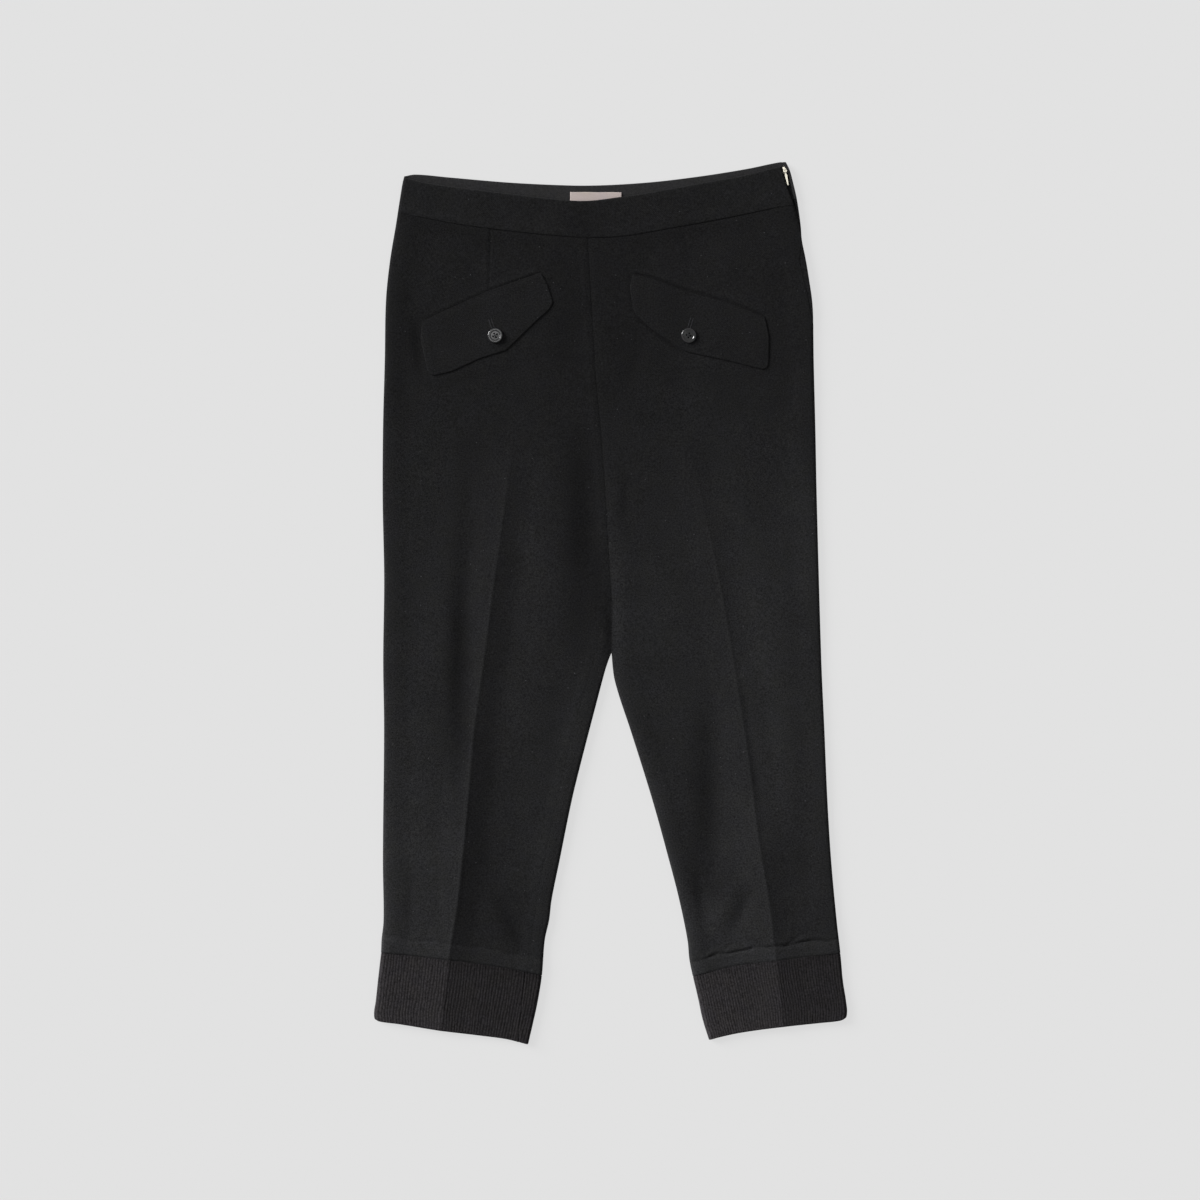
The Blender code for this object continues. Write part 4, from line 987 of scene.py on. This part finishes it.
def cuff(leg, material):
    """A ribbed knit ankle cuff: a flattened tube with a plain inside."""
    ribs = RIBS_ON_FRONT
    quarter = RIBS_ON_EDGE / 2
    turn = np.radians(np.arange(0, 90, 10))
    passed = turn / math.pi * 2 * quarter
    under, top = (np.arange(ribs * samples) / (ribs * samples)
                  for samples in (RIB_SAMPLES_UNDER, RIB_SAMPLES_TOP))
    # The way round the tube: kind, angle, share of the way across and ribs passed
    around = [
        ("outer", turn, 0 * turn, passed),
        ("under", 0 * under, under, quarter + under * ribs),
        ("inner", math.pi / 2 - turn, 0 * turn, quarter + ribs + passed),
        ("inner", -turn, 0 * turn, 2 * quarter + ribs + passed),
        ("top", 0 * top, 1 - top, 3 * quarter + ribs + top * ribs),
        ("outer", turn - math.pi / 2, 0 * turn, 3 * quarter + 2 * ribs + passed),
    ]
    kinds = np.concatenate([[run[0]] * len(run[1]) for run in around])
    angles, shares, rib = (np.concatenate([run[column] for run in around]) for column in (1, 2, 3))
    edge = [0.0, 0.25, 0.6, 1.1, 1.8, 3.0]
    rows = edged(edge, 5.0, CUFF_HEIGHT - 4.5, 2.2, CUFF_HEIGHT)[:, None] / CUFF_HEIGHT

    def station(down):
        outer = smooth(leg.outer, down)
        inner = smooth(leg.inner, down)
        reach = EDGE_ROLL * (1 - np.cos(angles))
        middle = mix(outer + leg.inward * EDGE_ROLL, inner - leg.inward * EDGE_ROLL, shares)
        at_side = np.where(kinds == "outer", outer + leg.inward * reach, inner - leg.inward * reach)
        return np.where((kinds == "under") | (kinds == "top"), middle, at_side)

    down = np.full((len(rows), len(rib)), HEM_DOWN)
    for _ in range(6):
        across = station(down)
        start = smooth(leg.hem, across) + SEAM_GAP / 2
        down = mix(start, smooth(leg.cuff_end, across), rows)
    across = station(down)
    lie = CUFF_LIE + RIB_HEIGHT + leg.ridge(across, down) + 0.5 * ripple(across, down)
    if leg.side == "right":
        from_seam = across - smooth(CUFF_SEAM_RIGHT, down)
        lie = lie + lines_beside(from_seam, CUFF_SEAM_LINES)
    middle = CUFF_LIE / 2
    lift = np.sin(np.abs(angles))
    side_height = np.where(angles < 0, mix(middle, lie, lift), middle * (1 - lift))
    height = np.where(kinds == "under", 0.0, np.where(kinds == "top", lie, side_height))
    base = place(across, down, height)
    normals = grid_normals(base, "out", True)[0]
    sway = 0.10 * np.sin(down / 9.0 + rib * 0.9) + 0.06 * np.sin(down / 3.7 + rib * 2.3)
    groove = 1 - np.sqrt(np.maximum(1 - (2 * ((rib + sway) % 1.0) - 1) ** 2 * 0.98, 0))
    from_end = np.minimum(rows, 1 - rows) * CUFF_HEIGHT
    sink = RIB_DEPTH * groove + rounding(from_end, 1.1) * 0.9
    off_crease = across - smooth(leg.crease, down)
    from_lit_edge = across - smooth(leg.lit_edge, down)
    # Painted light and shade: lighter on the side of the crease turned to the window and along the lit
    # edge, painted light on the rib crests and painted shade in the grooves, on the tube's lower half
    # and along the top seam. The cuff is also darker near its top and lighter towards its end.
    tone = mix(0.94, 0.76, ease(off_crease / 8 + 0.4)) + 0.0018 * np.clip(-off_crease, 0, 75)
    tone = tone + lines_beside(from_lit_edge, CUFF_EDGE_LIGHT)
    tone = tone - 0.08 * (1 - ease(rows * CUFF_HEIGHT / 16))
    tone = tone - 0.05 * ease(off_crease / 40) + 0.09 * ease(rows * 2.5 - 1.5)
    tone = tone * np.where((angles < 0) | (kinds == "top"), 1.0, 0.95) * mix(1.12, 0.36, groove)
    tone = tone * (1 + lines_beside(rows * CUFF_HEIGHT, CUFF_TOP_SHADE))
    cloth("cuff_" + leg.side, "_knit", base - normals * sink[..., None] * MM,
          base - normals * CUFF_WALL * MM, tone, material, (0.326, 0.068), slot="knit",
          facing="out", closed=True)


BAND_EDGE = [0.0, 0.2, 0.5, 0.9, 1.4, 2.2]


def band_grid(right_line, insets, columns, row_downs):
    """Spots of half a waistband: rolled at its left side, then even, then the right insets.

    row_downs says how far down the rows are, at each spot across.
    """
    shares = spaced(0, 1, 1 / columns)[1:]
    share = np.concatenate([0 * ROLL_IN, shares, 0 * insets + 1])
    offset = np.concatenate([ROLL_IN, mix(EDGE_ROLL, -insets[0], shares), -insets])
    down = np.full(len(share), 200.0)
    for _ in range(5):
        across = mix(smooth(OUTER_RIGHT, down), smooth(right_line, down), share) + offset
        down = row_downs(across)
    lift = np.ones(len(share))
    lift[:ROLLED] = ROLL_UP
    return np.broadcast_to(across, down.shape), down, lift


def front_band(material):
    """The front half of the waistband, from the right side to the zip opening."""
    tall = BAND_HEIGHT
    from_seam = edged(BAND_EDGE, 3.4, tall - 3.4, BAND_CELL, tall)[:, None]

    def row_downs(across):
        seam = smooth(FRONT_BAND_SEAM, across) - SEAM_GAP / 2
        return mix(seam, smooth(FRONT_BAND_TOP, across), from_seam / tall)

    insets = np.array([2.0, 1.3, 0.7, 0.3, 0.0])
    across, down, lift = band_grid(OPENING_EDGE, insets, 250, row_downs)
    from_top = tall - from_seam
    from_opening = np.maximum(smooth(OPENING_EDGE, down) - across, 0)
    lie = BAND_LIE + 0.6 * ripple(across, down)
    lie = lie + lines_beside(from_seam, BAND_SEAM_LINES) + lines_beside(across, BAND_DIP)
    lie = lie - 0.35 * rounding(from_seam, 0.8) - rounding(from_top, 1.6)
    lie = lie - rounding(from_opening, 1.4)
    height = mix(BAND_LIE / 2 + SEAM_GAP / 2, lie, lift)
    # Painted light and shade: lighter towards the band's left end and where it swells above its seam,
    # darker in its dip and along its seam, with a painted highlight on its top edge
    tone = 0.80 + 0.06 * ease((500 - across) / 60)
    tone = tone + lines_beside(from_seam, BAND_GLOW) * ease((600 - across) / 150)
    tone = tone + lines_beside(across, BAND_DIP_SHADE) + lines_beside(from_seam, BAND_SEAM_SHADE)
    tone = tone + lines_beside(from_top, BAND_TOP_LIGHT)
    cloth("waistband_front", "_cloth", place(across, down, height), BAND_WALL, tone, material,
          (0.388, 0.0366), rests_on=["waistband_back_cloth"])


def back_band(material):
    """The back half of the waistband, whose inside shows above the front."""
    tall = BAND_HEIGHT - CLOSE_GAP / 2
    from_top = tall - edged(BAND_EDGE, 3.4, tall - 3.4, 2.0, tall)[:, None]
    across, down, lift = band_grid(
        OUTER_LEFT, ROLL_IN[::-1], 200, lambda across: smooth(BACK_BAND_TOP, across) + from_top)
    lift[-ROLLED:] = ROLL_UP[::-1]
    under = np.maximum(0.15 + 0.5 * ripple(across, down), 0) + 0.8 * rounding(from_top, 1.1)
    folded_edge = np.full(len(lift), BAND_LIE / 2)
    folded_edge[-ROLLED:] = OPENING_FOLD
    height = mix(folded_edge - SEAM_GAP / 2, under, lift)
    face = BAND_WALL - rounding(from_top, 1.1) * 0.9 + 0.3 * ripple(across, down)
    face = face + lines_beside(from_top, BACK_BAND_STITCH)
    side = np.cos(ROLL_ANGLES) * BAND_WALL
    inner_across = across.copy()
    inner_across[:, :ROLLED] += side
    inner_across[:, -ROLLED:] -= side[::-1] * 1.2
    inner = place(inner_across, down, np.maximum(height, face))
    piece = cloth("waistband_back", "_cloth", place(across, down, height), inner, 1.0, material,
                  (0.39, 0.0366), facing="down")
    mesh = piece.data
    for item, normal in zip(mesh.attributes["tone"].data, mesh.vertex_normals):
        if normal.vector.z > 0.2:
            item.value = BACK_BAND_INSIDE


def flap_patch(outline, columns, rows):
    """Spots of a flap's outline patch, with rounded corners, and each spot's way in."""
    wide = math.dist(outline["seam"][0][1:], outline["seam"][-1][1:])
    tall = sum(math.dist(outline[end][0][1:], outline[end][-1][1:]) for end in ("left", "right")) / 2
    u, v = np.meshgrid(columns, rows)
    off_side = np.minimum(u, 1 - u) * wide
    off_end = np.minimum(v, 1 - v) * tall
    radius = np.where(v > 0.5, FLAP_CORNER_LOW, FLAP_CORNER_HIGH)
    a = np.clip((radius - off_side) / radius, 0, 1)
    b = np.clip((radius - off_end) / radius, 0, 1)
    at_corner = (a > 0) & (b > 0)
    off_side = np.where(at_corner, radius * (1 - a * np.sqrt(1 - b * b / 2)), off_side)
    off_end = np.where(at_corner, radius * (1 - b * np.sqrt(1 - a * a / 2)), off_end)
    arc = radius - np.hypot(radius - off_side, radius - off_end)
    inset = np.where(at_corner, np.maximum(arc, 0), np.minimum(off_side, off_end))
    u = np.where(u < 0.5, off_side / wide, 1 - off_side / wide)
    v = np.where(v < 0.5, off_end / tall, 1 - off_end / tall)
    share_u, share_v = u[..., None], v[..., None]
    spot = mix(along(outline["seam"], u), along(outline["lower"], u), share_v)
    spot = spot + mix(along(outline["left"], v), along(outline["right"], v), share_u)
    top, low = (mix(along(outline[side], 0), along(outline[side], 1), share_u)
                for side in ("seam", "lower"))
    spot = spot - mix(top, low, share_v)
    return spot[..., 0], spot[..., 1], inset, v


def flap(leg, material):
    """A shaped pocket flap with turned edges, lying on the front panel."""
    edge = np.array([0.0, 0.25, 0.6, 1.1, 1.8, 2.8])
    columns = edged(edge / 125, 0.032, 0.968, 1 / 85, 1)
    rows = edged(edge / 50, 0.08, 0.92, 1 / 34, 1)
    across, down, inset, share = flap_patch(leg.flap, columns, rows)
    from_top = share * math.dist(leg.flap["left"][0][1:], leg.flap["left"][-1][1:])
    sewn_in = 1 - ease(from_top / 7)
    height = leg.under_flap(across, down) + mix(FLAP_LIFT, 0.9, sewn_in)
    height = height - rounding(inset, 0.8) * mix(1, 0.6, sewn_in)
    height = height + lines_beside(inset, FLAP_STITCH) * ease((from_top - 5) / 4)
    # Painted highlight inside the turned edges and painted shadow along the left flap's edge, with
    # painted shade in the seam at the top
    tone = leg.flap_tone + lines_beside(inset, leg.flap_edge)
    tone = tone + lines_beside(from_top, FLAP_TOP_SHADE)
    cloth("flap_" + leg.side, "_cloth", place(across, down, height), FLAP_WALL, tone, material,
          leg.flap_cut, area=leg.flap_area, rests_on=["front_%s_cloth" % leg.side])


def label(material):
    """The bare woven label, inside the back waistband."""
    edge = [0.0, 0.25, 0.6, 1.0]
    wide = LABEL_RIGHT - LABEL_LEFT
    columns = edged(edge, 2.0, wide - 2, 1.0, wide) / wide
    rows = edged(edge, 2.0, LABEL_HEIGHT - 2, 1.0, LABEL_HEIGHT)
    share, off_top = np.meshgrid(columns, rows)
    across = mix(LABEL_LEFT, LABEL_RIGHT, share) + 0.12 * np.sin(off_top / 2.6)
    top = mix(LABEL_TOP_LEFT_DOWN, LABEL_TOP_RIGHT_DOWN, share) + 0.1 * np.sin(share * 14)
    inset = np.minimum(np.minimum(share, 1 - share) * wide, np.minimum(off_top, LABEL_HEIGHT - off_top))
    height = BAND_WALL + LAY_GAP + LABEL_WALL - rounding(inset, 0.5) + 0.15 * np.sin(across / 9)
    cloth("label", "_weave", place(across, top + off_top, height), LABEL_WALL * WOVEN_SHARE, 1.0,
          material, (0.0515, 0.016), slot="label", rests_on=["waistband_back_cloth"])


def zip_tape(material, metal):
    """The zip's tape on the inside of the back, with its closed row of teeth."""
    levels = np.concatenate([spaced(TAPE_TOP_DOWN, TAPE_END_DOWN, 1.6), [TAPE_END_DOWN]])

    def spot(down, share):
        right = np.minimum(smooth(OPENING_EDGE, down) + 4.0, smooth(OUTER_LEFT, down) - 4.4)
        band_foot = smooth(BACK_BAND_TOP, right) + BAND_HEIGHT
        under = mix(BAND_WALL, LEG_WALL, ease((down - band_foot - 3) / 8)) + LAY_GAP
        return right - TAPE_WIDTH * (1 - share), under + TAPE_WALL

    down, share = np.meshgrid(levels, np.linspace(0, 1, 12), indexing="ij")
    across, height = spot(down, share)
    cloth("zip_tape", "_weave", place(across, down, height), TAPE_WALL * WOVEN_SHARE, 1.0,
          material, (0.011, 0.15), slot="zip_tape")
    row = bmesh.new()
    size = Matrix.Diagonal((*(length * MM for length in TOOTH_SIZE), 1))
    downs = np.arange(TAPE_TOP_DOWN + TEETH_FROM_TOP, TAPE_END_DOWN - 2, TOOTH_PITCH)
    for index, down in enumerate(downs):
        across, height = spot(down, TEETH_SHARE)
        side = TOOTH_STAGGER if index % 2 else -TOOTH_STAGGER
        middle = Matrix.Translation(point_at(across + side, down, height + TOOTH_LIFT))
        bmesh.ops.create_cube(row, size=1, matrix=middle @ size)
    teeth = finished(mesh_from("zip_teeth", row), 1.0, 45)
    new_piece("zip_teeth", teeth, metal, None)


# Small hard pieces

def revolve(profile, sides):
    """A solid turned about Z from (radius, height) pairs that start and end on the axis."""
    shape = bmesh.new()
    turns = [2 * math.pi * side / sides for side in range(sides)]
    rings = []
    for radius, up in profile:
        ring = turns if radius else turns[:1]
        rings.append([shape.verts.new((radius * math.cos(turn) * MM, radius * math.sin(turn) * MM,
                                       up * MM)) for turn in ring])
    for lower, upper in zip(rings, rings[1:]):
        for side in range(sides):
            following = (side + 1) % sides
            if len(lower) == 1:
                corners = [lower[0], upper[following], upper[side]]
            elif len(upper) == 1:
                corners = [lower[side], lower[following], upper[0]]
            else:
                corners = [lower[side], lower[following], upper[following], upper[side]]
            shape.faces.new(corners)
    bmesh.ops.recalc_face_normals(shape, faces=shape.faces)
    return shape


def tube(shape, path, radius, sides=8):
    """Adds a round bar along a path of points, with closed ends, to a bmesh."""
    rings = []
    for index, point in enumerate(path):
        ahead = path[min(index + 1, len(path) - 1)] - path[max(index - 1, 0)]
        side = ahead.cross(Vector((0, 0, 1))).normalized()
        up = side.cross(ahead).normalized()
        turns = [2 * math.pi * step / sides for step in range(sides)]
        rings.append([shape.verts.new(
            point + (side * math.cos(turn) + up * math.sin(turn)) * radius * MM) for turn in turns])
    for first, second in zip(rings, rings[1:]):
        for step in range(sides):
            following = (step + 1) % sides
            shape.faces.new([first[step], first[following], second[following], second[step]])
    shape.faces.new(list(reversed(rings[0])))
    shape.faces.new(rings[-1])


def point_at(across, down, height):
    return Vector(place(across, down, height).tolist())


def drilled(body, drill):
    """The mesh of a body with the shapes of a drill cut out of it."""
    solid, cutter = (linked(bpy.data.objects.new(name, mesh_from(name, shape)))
                     for name, shape in (("button_body", body), ("button_drill", drill)))
    cut = solid.modifiers.new("Holes", "BOOLEAN")
    cut.operation = "DIFFERENCE"
    cut.solver = "EXACT"
    cut.object = cutter
    graph = bpy.context.evaluated_depsgraph_get()
    mesh = bpy.data.meshes.new_from_object(solid.evaluated_get(graph))
    bpy.data.objects.remove(solid)
    bpy.data.objects.remove(cutter)
    return mesh


def button(leg, material, thread):
    """A four-hole button with a rim and an inner ring, sewn on with a cross of thread."""
    spot = np.array(leg.button)
    foot = float(leg.under_flap(*spot)) + FLAP_LIFT + BUTTON_CLEAR
    lean_across, lean_down = (Matrix.Rotation(math.radians(lean), 4, axis)
                              for lean, axis in zip(leg.button_lean, "YX"))
    seat = Matrix.Translation(point_at(*spot, foot)) @ lean_across @ lean_down
    drill = bmesh.new()
    for quarter in range(4):
        turn = math.radians(45 + 90 * quarter + leg.button_turn)
        middle = Vector((math.cos(turn), math.sin(turn), 0)) * BUTTON_HOLE_OFFSET * MM
        bmesh.ops.create_cone(
            drill, cap_ends=True, segments=20, radius1=BUTTON_HOLE_RADIUS * MM,
            radius2=BUTTON_HOLE_RADIUS * MM, depth=DRILL_DEEP * MM, matrix=Matrix.Translation(middle))
    mesh = drilled(revolve(BUTTON_PROFILE, 72), drill)
    mesh.transform(seat)
    name = "button_" + leg.side
    new_piece(name + "_horn", finished(mesh, 1.0, 40), material, name)
    cross = bmesh.new()
    for crossing in (0, 1):
        turn = math.radians(45 + 90 * crossing + leg.button_turn)
        ahead = Vector((math.cos(turn), math.sin(turn), 0)) * (BUTTON_HOLE_OFFSET - 0.4)
        aside = Vector((-math.sin(turn), math.cos(turn), 0))
        for strand in (-STRAND_ASIDE, STRAND_ASIDE):
            path = []
            for share in np.linspace(-1, 1, 9).tolist():
                rise = BUTTON_WELL + 0.12 + 0.15 * crossing - 0.7 * share ** 6
                point = ahead * share + aside * strand * (1 - 0.3 * share ** 2)
                path.append(seat @ ((point + Vector((0, 0, rise))) * MM))
            tube(cross, path, THREAD_RADIUS)
    name = name + "_thread"
    new_piece(name, finished(mesh_from(name, cross), 0.9, 45), thread, None)


def buttonhole(leg, material):
    """The two corded rows of a buttonhole that show under the button's far side."""
    start, end = (np.array(spot) for spot in leg.buttonhole)
    way = (end - start) / math.dist(start, end)
    rows = bmesh.new()
    for side in (-CORD_ASIDE, CORD_ASIDE):
        path = []
        for share in np.linspace(0, 1, 12):
            across, down = mix(start, end, share) + np.array([-way[1], way[0]]) * side
            path.append(point_at(across, down, leg.under_flap(across, down) + FLAP_LIFT))
        tube(rows, path, CORD_RADIUS)
    name = "buttonhole_%s_thread" % leg.side
    new_piece(name, finished(mesh_from(name, rows), 0.85, 45), material, None)


def zip_part(node, body, metal, way, start, slim, shorter=0.0, sideways=0.0):
    """The slider or pull tab, with a slimmer end than its solid has.

    way is 1 for an end below the hinge and -1 for one above it. start is how far from the hinge
    the end begins to slim, and the rest say what it loses and how far it moves, in millimetres.
    """
    mesh = bpy.data.objects[node].data.copy()
    hinge = point_at(*PULL_HINGE)
    ahead = Vector((math.sin(PULL_LEAN), -math.cos(PULL_LEAN), 0)) * way
    side = Vector((math.cos(PULL_LEAN), math.sin(PULL_LEAN), 0))
    far = max((vertex.co - hinge).dot(ahead) for vertex in mesh.vertices) / MM
    for vertex in mesh.vertices:
        spot = vertex.co - hinge
        share = float(ease((spot.dot(ahead) / MM - start) / (far - start)))
        vertex.co -= side * (spot.dot(side) * slim + sideways * MM) * share
        vertex.co -= ahead * shorter * share * MM
    mesh.name = node + "_enamel"
    new_piece(mesh.name, mesh, metal, node, body=body)


# Materials

def nodes_for(name):
    material = bpy.data.materials.new(name)
    material.use_nodes = True
    return material, material.node_tree, material.node_tree.nodes["Principled BSDF"]


def set_inputs(tree, node, values):
    """Gives a node's inputs their values, or links them to the sockets given."""
    for key, value in values.items():
        if isinstance(value, bpy.types.NodeSocket):
            tree.links.new(value, node.inputs[key])
        else:
            node.inputs[key].default_value = value


def add_node(tree, kind, values=None, **settings):
    node = tree.nodes.new(kind)
    for key, value in settings.items():
        setattr(node, key, value)
    set_inputs(tree, node, values or {})
    return node


def math_node(tree, operation, first, second):
    return add_node(tree, "ShaderNodeMath", {0: first, 1: second}, operation=operation).outputs[0]


def scaled(tree, vector, by):
    values = {0: vector, "Scale": by}
    return add_node(tree, "ShaderNodeVectorMath", values, operation="SCALE").outputs[0]


def noise(tree, spot, pitch, detail, roughness=0.5):
    values = {"Vector": spot, "Scale": 1 / pitch, "Detail": detail, "Roughness": roughness}
    return add_node(tree, "ShaderNodeTexNoise", values).outputs[0]


def spread(tree, value, low, high):
    """Maps a value from 0..1 to low..high."""
    return add_node(tree, "ShaderNodeMapRange", {0: value, 3: low, 4: high}).outputs[0]


def varied(tree, value, cloud, swing):
    """A value made up to a share darker or lighter by a cloud."""
    return math_node(tree, "MULTIPLY", value, spread(tree, cloud, 1 - swing, 1 + swing))


def cloth_material(name, colour, grain, weave, lint, sheen, blotch=0.06):
    """Brushed cloth: grain and weave are (pitch in mm, strength), lint is its share of specks."""
    material, tree, shader = nodes_for(name)
    spot = scaled(tree, add_node(tree, "ShaderNodeTexCoord").outputs["Object"], 1 / MM)
    tone = add_node(tree, "ShaderNodeAttribute", attribute_name="tone").outputs["Fac"]
    shade = varied(tree, tone, noise(tree, spot, grain[0], 3.0, 0.65), grain[1])
    shade = varied(tree, shade, noise(tree, spot, BLOTCH_PITCH, 5.0, 0.6), blotch)
    cast = add_node(tree, "ShaderNodeMix", {
        0: spread(tree, noise(tree, spot, HUE_PITCH, 2.0), -0.6, 1.6), 6: (*colour, 1),
        7: (*(channel * cool for channel, cool in zip(colour, COOL_CAST)), 1)}, data_type="RGBA")
    speck = add_node(tree, "ShaderNodeTexVoronoi", {"Vector": spot, "Scale": 1 / LINT_SPACING})
    chosen = add_node(tree, "ShaderNodeSeparateColor", {0: speck.outputs["Color"]}).outputs
    size = math_node(tree, "MULTIPLY", chosen[0], lint)
    near = math_node(tree, "LESS_THAN", speck.outputs["Distance"], size)
    pale = math_node(tree, "MULTIPLY", near, spread(tree, chosen[1], 0.0, 0.5))
    blend = add_node(tree, "ShaderNodeMix", {
        0: pale, 6: scaled(tree, cast.outputs[2], shade), 7: LINT_COLOUR}, data_type="RGBA")
    twill = add_node(tree, "ShaderNodeTexWave", {
        "Vector": spot, "Scale": WAVE_SCALE / weave[0], "Distortion": 1.2, "Detail": 2.0,
        "Detail Scale": 1.5}, bands_direction="DIAGONAL")
    first_bump = add_node(tree, "ShaderNodeBump", {
        "Height": twill.outputs[0], "Strength": weave[1],
        "Distance": WEAVE_DEPTH * MM})
    bump = add_node(tree, "ShaderNodeBump", {
        "Height": noise(tree, spot, FUZZ_PITCH, 3.0, 0.7), "Strength": 0.5,
        "Distance": FUZZ_DEPTH * MM,
        "Normal": first_bump.outputs[0]})
    set_inputs(tree, shader, {
        "Base Color": blend.outputs[2], "Normal": bump.outputs[0], "Roughness": 0.95,
        "Specular IOR Level": 0.02, "Sheen Weight": sheen, "Sheen Roughness": 0.5})
    return material


def glossy_material(name, colour, roughness, ior, wear):
    """A smooth hard material with a faint clouding."""
    material, tree, shader = nodes_for(name)
    spot = add_node(tree, "ShaderNodeTexCoord").outputs["Object"]
    shade = spread(tree, noise(tree, spot, GLOSS_CLOUD_PITCH * MM, 2.0), 1 - wear, 1 + wear)
    set_inputs(tree, shader, {
        "Base Color": scaled(tree, colour, shade), "Roughness": roughness, "IOR": ior})
    return material


# Light, table and camera

def set_world():
    """An even white sky that shows as the photographer's pale backdrop, with a window in it."""
    world = bpy.data.worlds.new("studio")
    bpy.context.scene.world = world
    world.use_nodes = True
    tree = world.node_tree
    way = add_node(tree, "ShaderNodeTexCoord").outputs["Generated"]
    toward = Vector((*WINDOW_LEAN, 1.0)).normalized()
    cosine = add_node(tree, "ShaderNodeVectorMath", {0: way, 1: toward}, operation="DOT_PRODUCT")
    lamp = add_node(tree, "ShaderNodeMapRange", {
        0: cosine.outputs["Value"], 1: math.cos(WINDOW_OUTER), 2: math.cos(WINDOW_INNER),
        3: SKY_RADIANCE, 4: SKY_RADIANCE + WINDOW_RADIANCE}, interpolation_type="SMOOTHSTEP")
    seen = add_node(tree, "ShaderNodeLightPath").outputs["Is Camera Ray"]
    level = spread(tree, seen, lamp.outputs[0], TABLE_RADIANCE)
    set_inputs(tree, tree.nodes["Background"], {"Color": (1, 1, 1, 1), "Strength": level})


def set_table():
    """The pale table that the trousers lie on; it mostly glows, so its shadows stay faint."""
    mesh = bpy.data.meshes.new("table")
    corners = [(-1, -1), (1, -1), (1, 1), (-1, 1)]
    mesh.from_pydata([(x * TABLE_HALF_WIDE, y * TABLE_HALF_WIDE, -TABLE_DROP * MM)
                      for x, y in corners], [], [(0, 1, 2, 3)])
    material, tree, shader = nodes_for("table_paper")
    set_inputs(tree, shader, {
        "Base Color": (*[TABLE_GREY] * 3, 1), "Roughness": 1.0, "Specular IOR Level": 0.0,
        "Emission Color": (1, 1, 1, 1), "Emission Strength": TABLE_GLOW})
    mesh.materials.append(material)
    linked(bpy.data.objects.new("table", mesh))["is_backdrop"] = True


def set_sun():
    light = bpy.data.lights.new("window", "SUN")
    light.energy = SUN_STRENGTH
    light.angle = SUN_SOFTNESS
    lamp = linked(bpy.data.objects.new("window", light))
    flat = Vector(SUN_WAY).normalized() * math.cos(SUN_ELEVATION)
    toward = Vector((flat.x, flat.y, math.sin(SUN_ELEVATION)))
    lamp.rotation_euler = toward.to_track_quat("Z", "Y").to_euler()


def set_camera():
    """Straight down on the middle of the photographed square."""
    lens = bpy.data.cameras.new("overhead")
    lens.lens = LENS
    lens.sensor_width = SENSOR_WIDE
    camera = linked(bpy.data.objects.new("overhead", lens))
    camera.location = (*place(*PHOTO_MIDDLE, 0.0)[:2], CAMERA_HIGH)
    bpy.context.scene.camera = camera


def dress():
    """Builds every piece, then sets light, table and camera."""
    wool = cloth_material("brushed_wool", WOOL_COLOUR, (1.4, 1.35), (1.1, 0.4), 0.085, 0.03,
                          blotch=0.2)
    inside = cloth_material("wool_inside", INSIDE_COLOUR, (1.5, 0.7), (1.1, 0.3), 0.03, 0.03)
    knit = cloth_material("rib_knit", KNIT_COLOUR, (1.6, 1.4), (0.9, 0.3), 0.03, 0.03)
    woven = cloth_material("label_weave", LABEL_COLOUR, (0.6, 0.10), (0.5, 0.9), 0.0, 0.05)
    tape = cloth_material("tape_weave", TAPE_COLOUR, (0.6, 0.15), (0.7, 0.8), 0.0, 0.05)
    thread = cloth_material("black_thread", THREAD_COLOUR, (0.4, 0.15), (0.4, 0.5), 0.0, 0.1)
    horn = glossy_material("polished_button", BUTTON_COLOUR, 0.18, 1.6, 0.15)
    ivory = glossy_material("ivory_enamel", PULL_COLOUR, 0.35, 1.5, 0.05)
    for side in SIDES:
        leg = Leg(side)
        back_panel(leg, wool)
        front_panel(leg, wool)
        cuff(leg, knit)
        flap(leg, wool)
        button(leg, horn, thread)
        buttonhole(leg, thread)
    front_band(wool)
    back_band(inside)
    label(woven)
    zip_tape(tape, horn)
    zip_part("zip_slider", "garment", ivory, way=-1, start=1.5, slim=0.38, shorter=1.1, sideways=0.7)
    zip_part("zip_pull", "pull_tab", ivory, way=1, start=3.0, slim=0.45)
    set_world()
    set_table()
    set_sun()
    set_camera()
    bpy.context.scene.view_settings.view_transform = "Standard"


def plain(value):
    """A box as plain lists of numbers."""
    if hasattr(value, "__len__"):
        return [plain(item) for item in value]
    return round(float(value), 6)


def write_sizes():
    """Makes plain lists of the CAD box and the finished box, which are then dropped."""
    {"cad": plain(cad_box), "scene": plain(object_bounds())}


dress()
write_sizes()
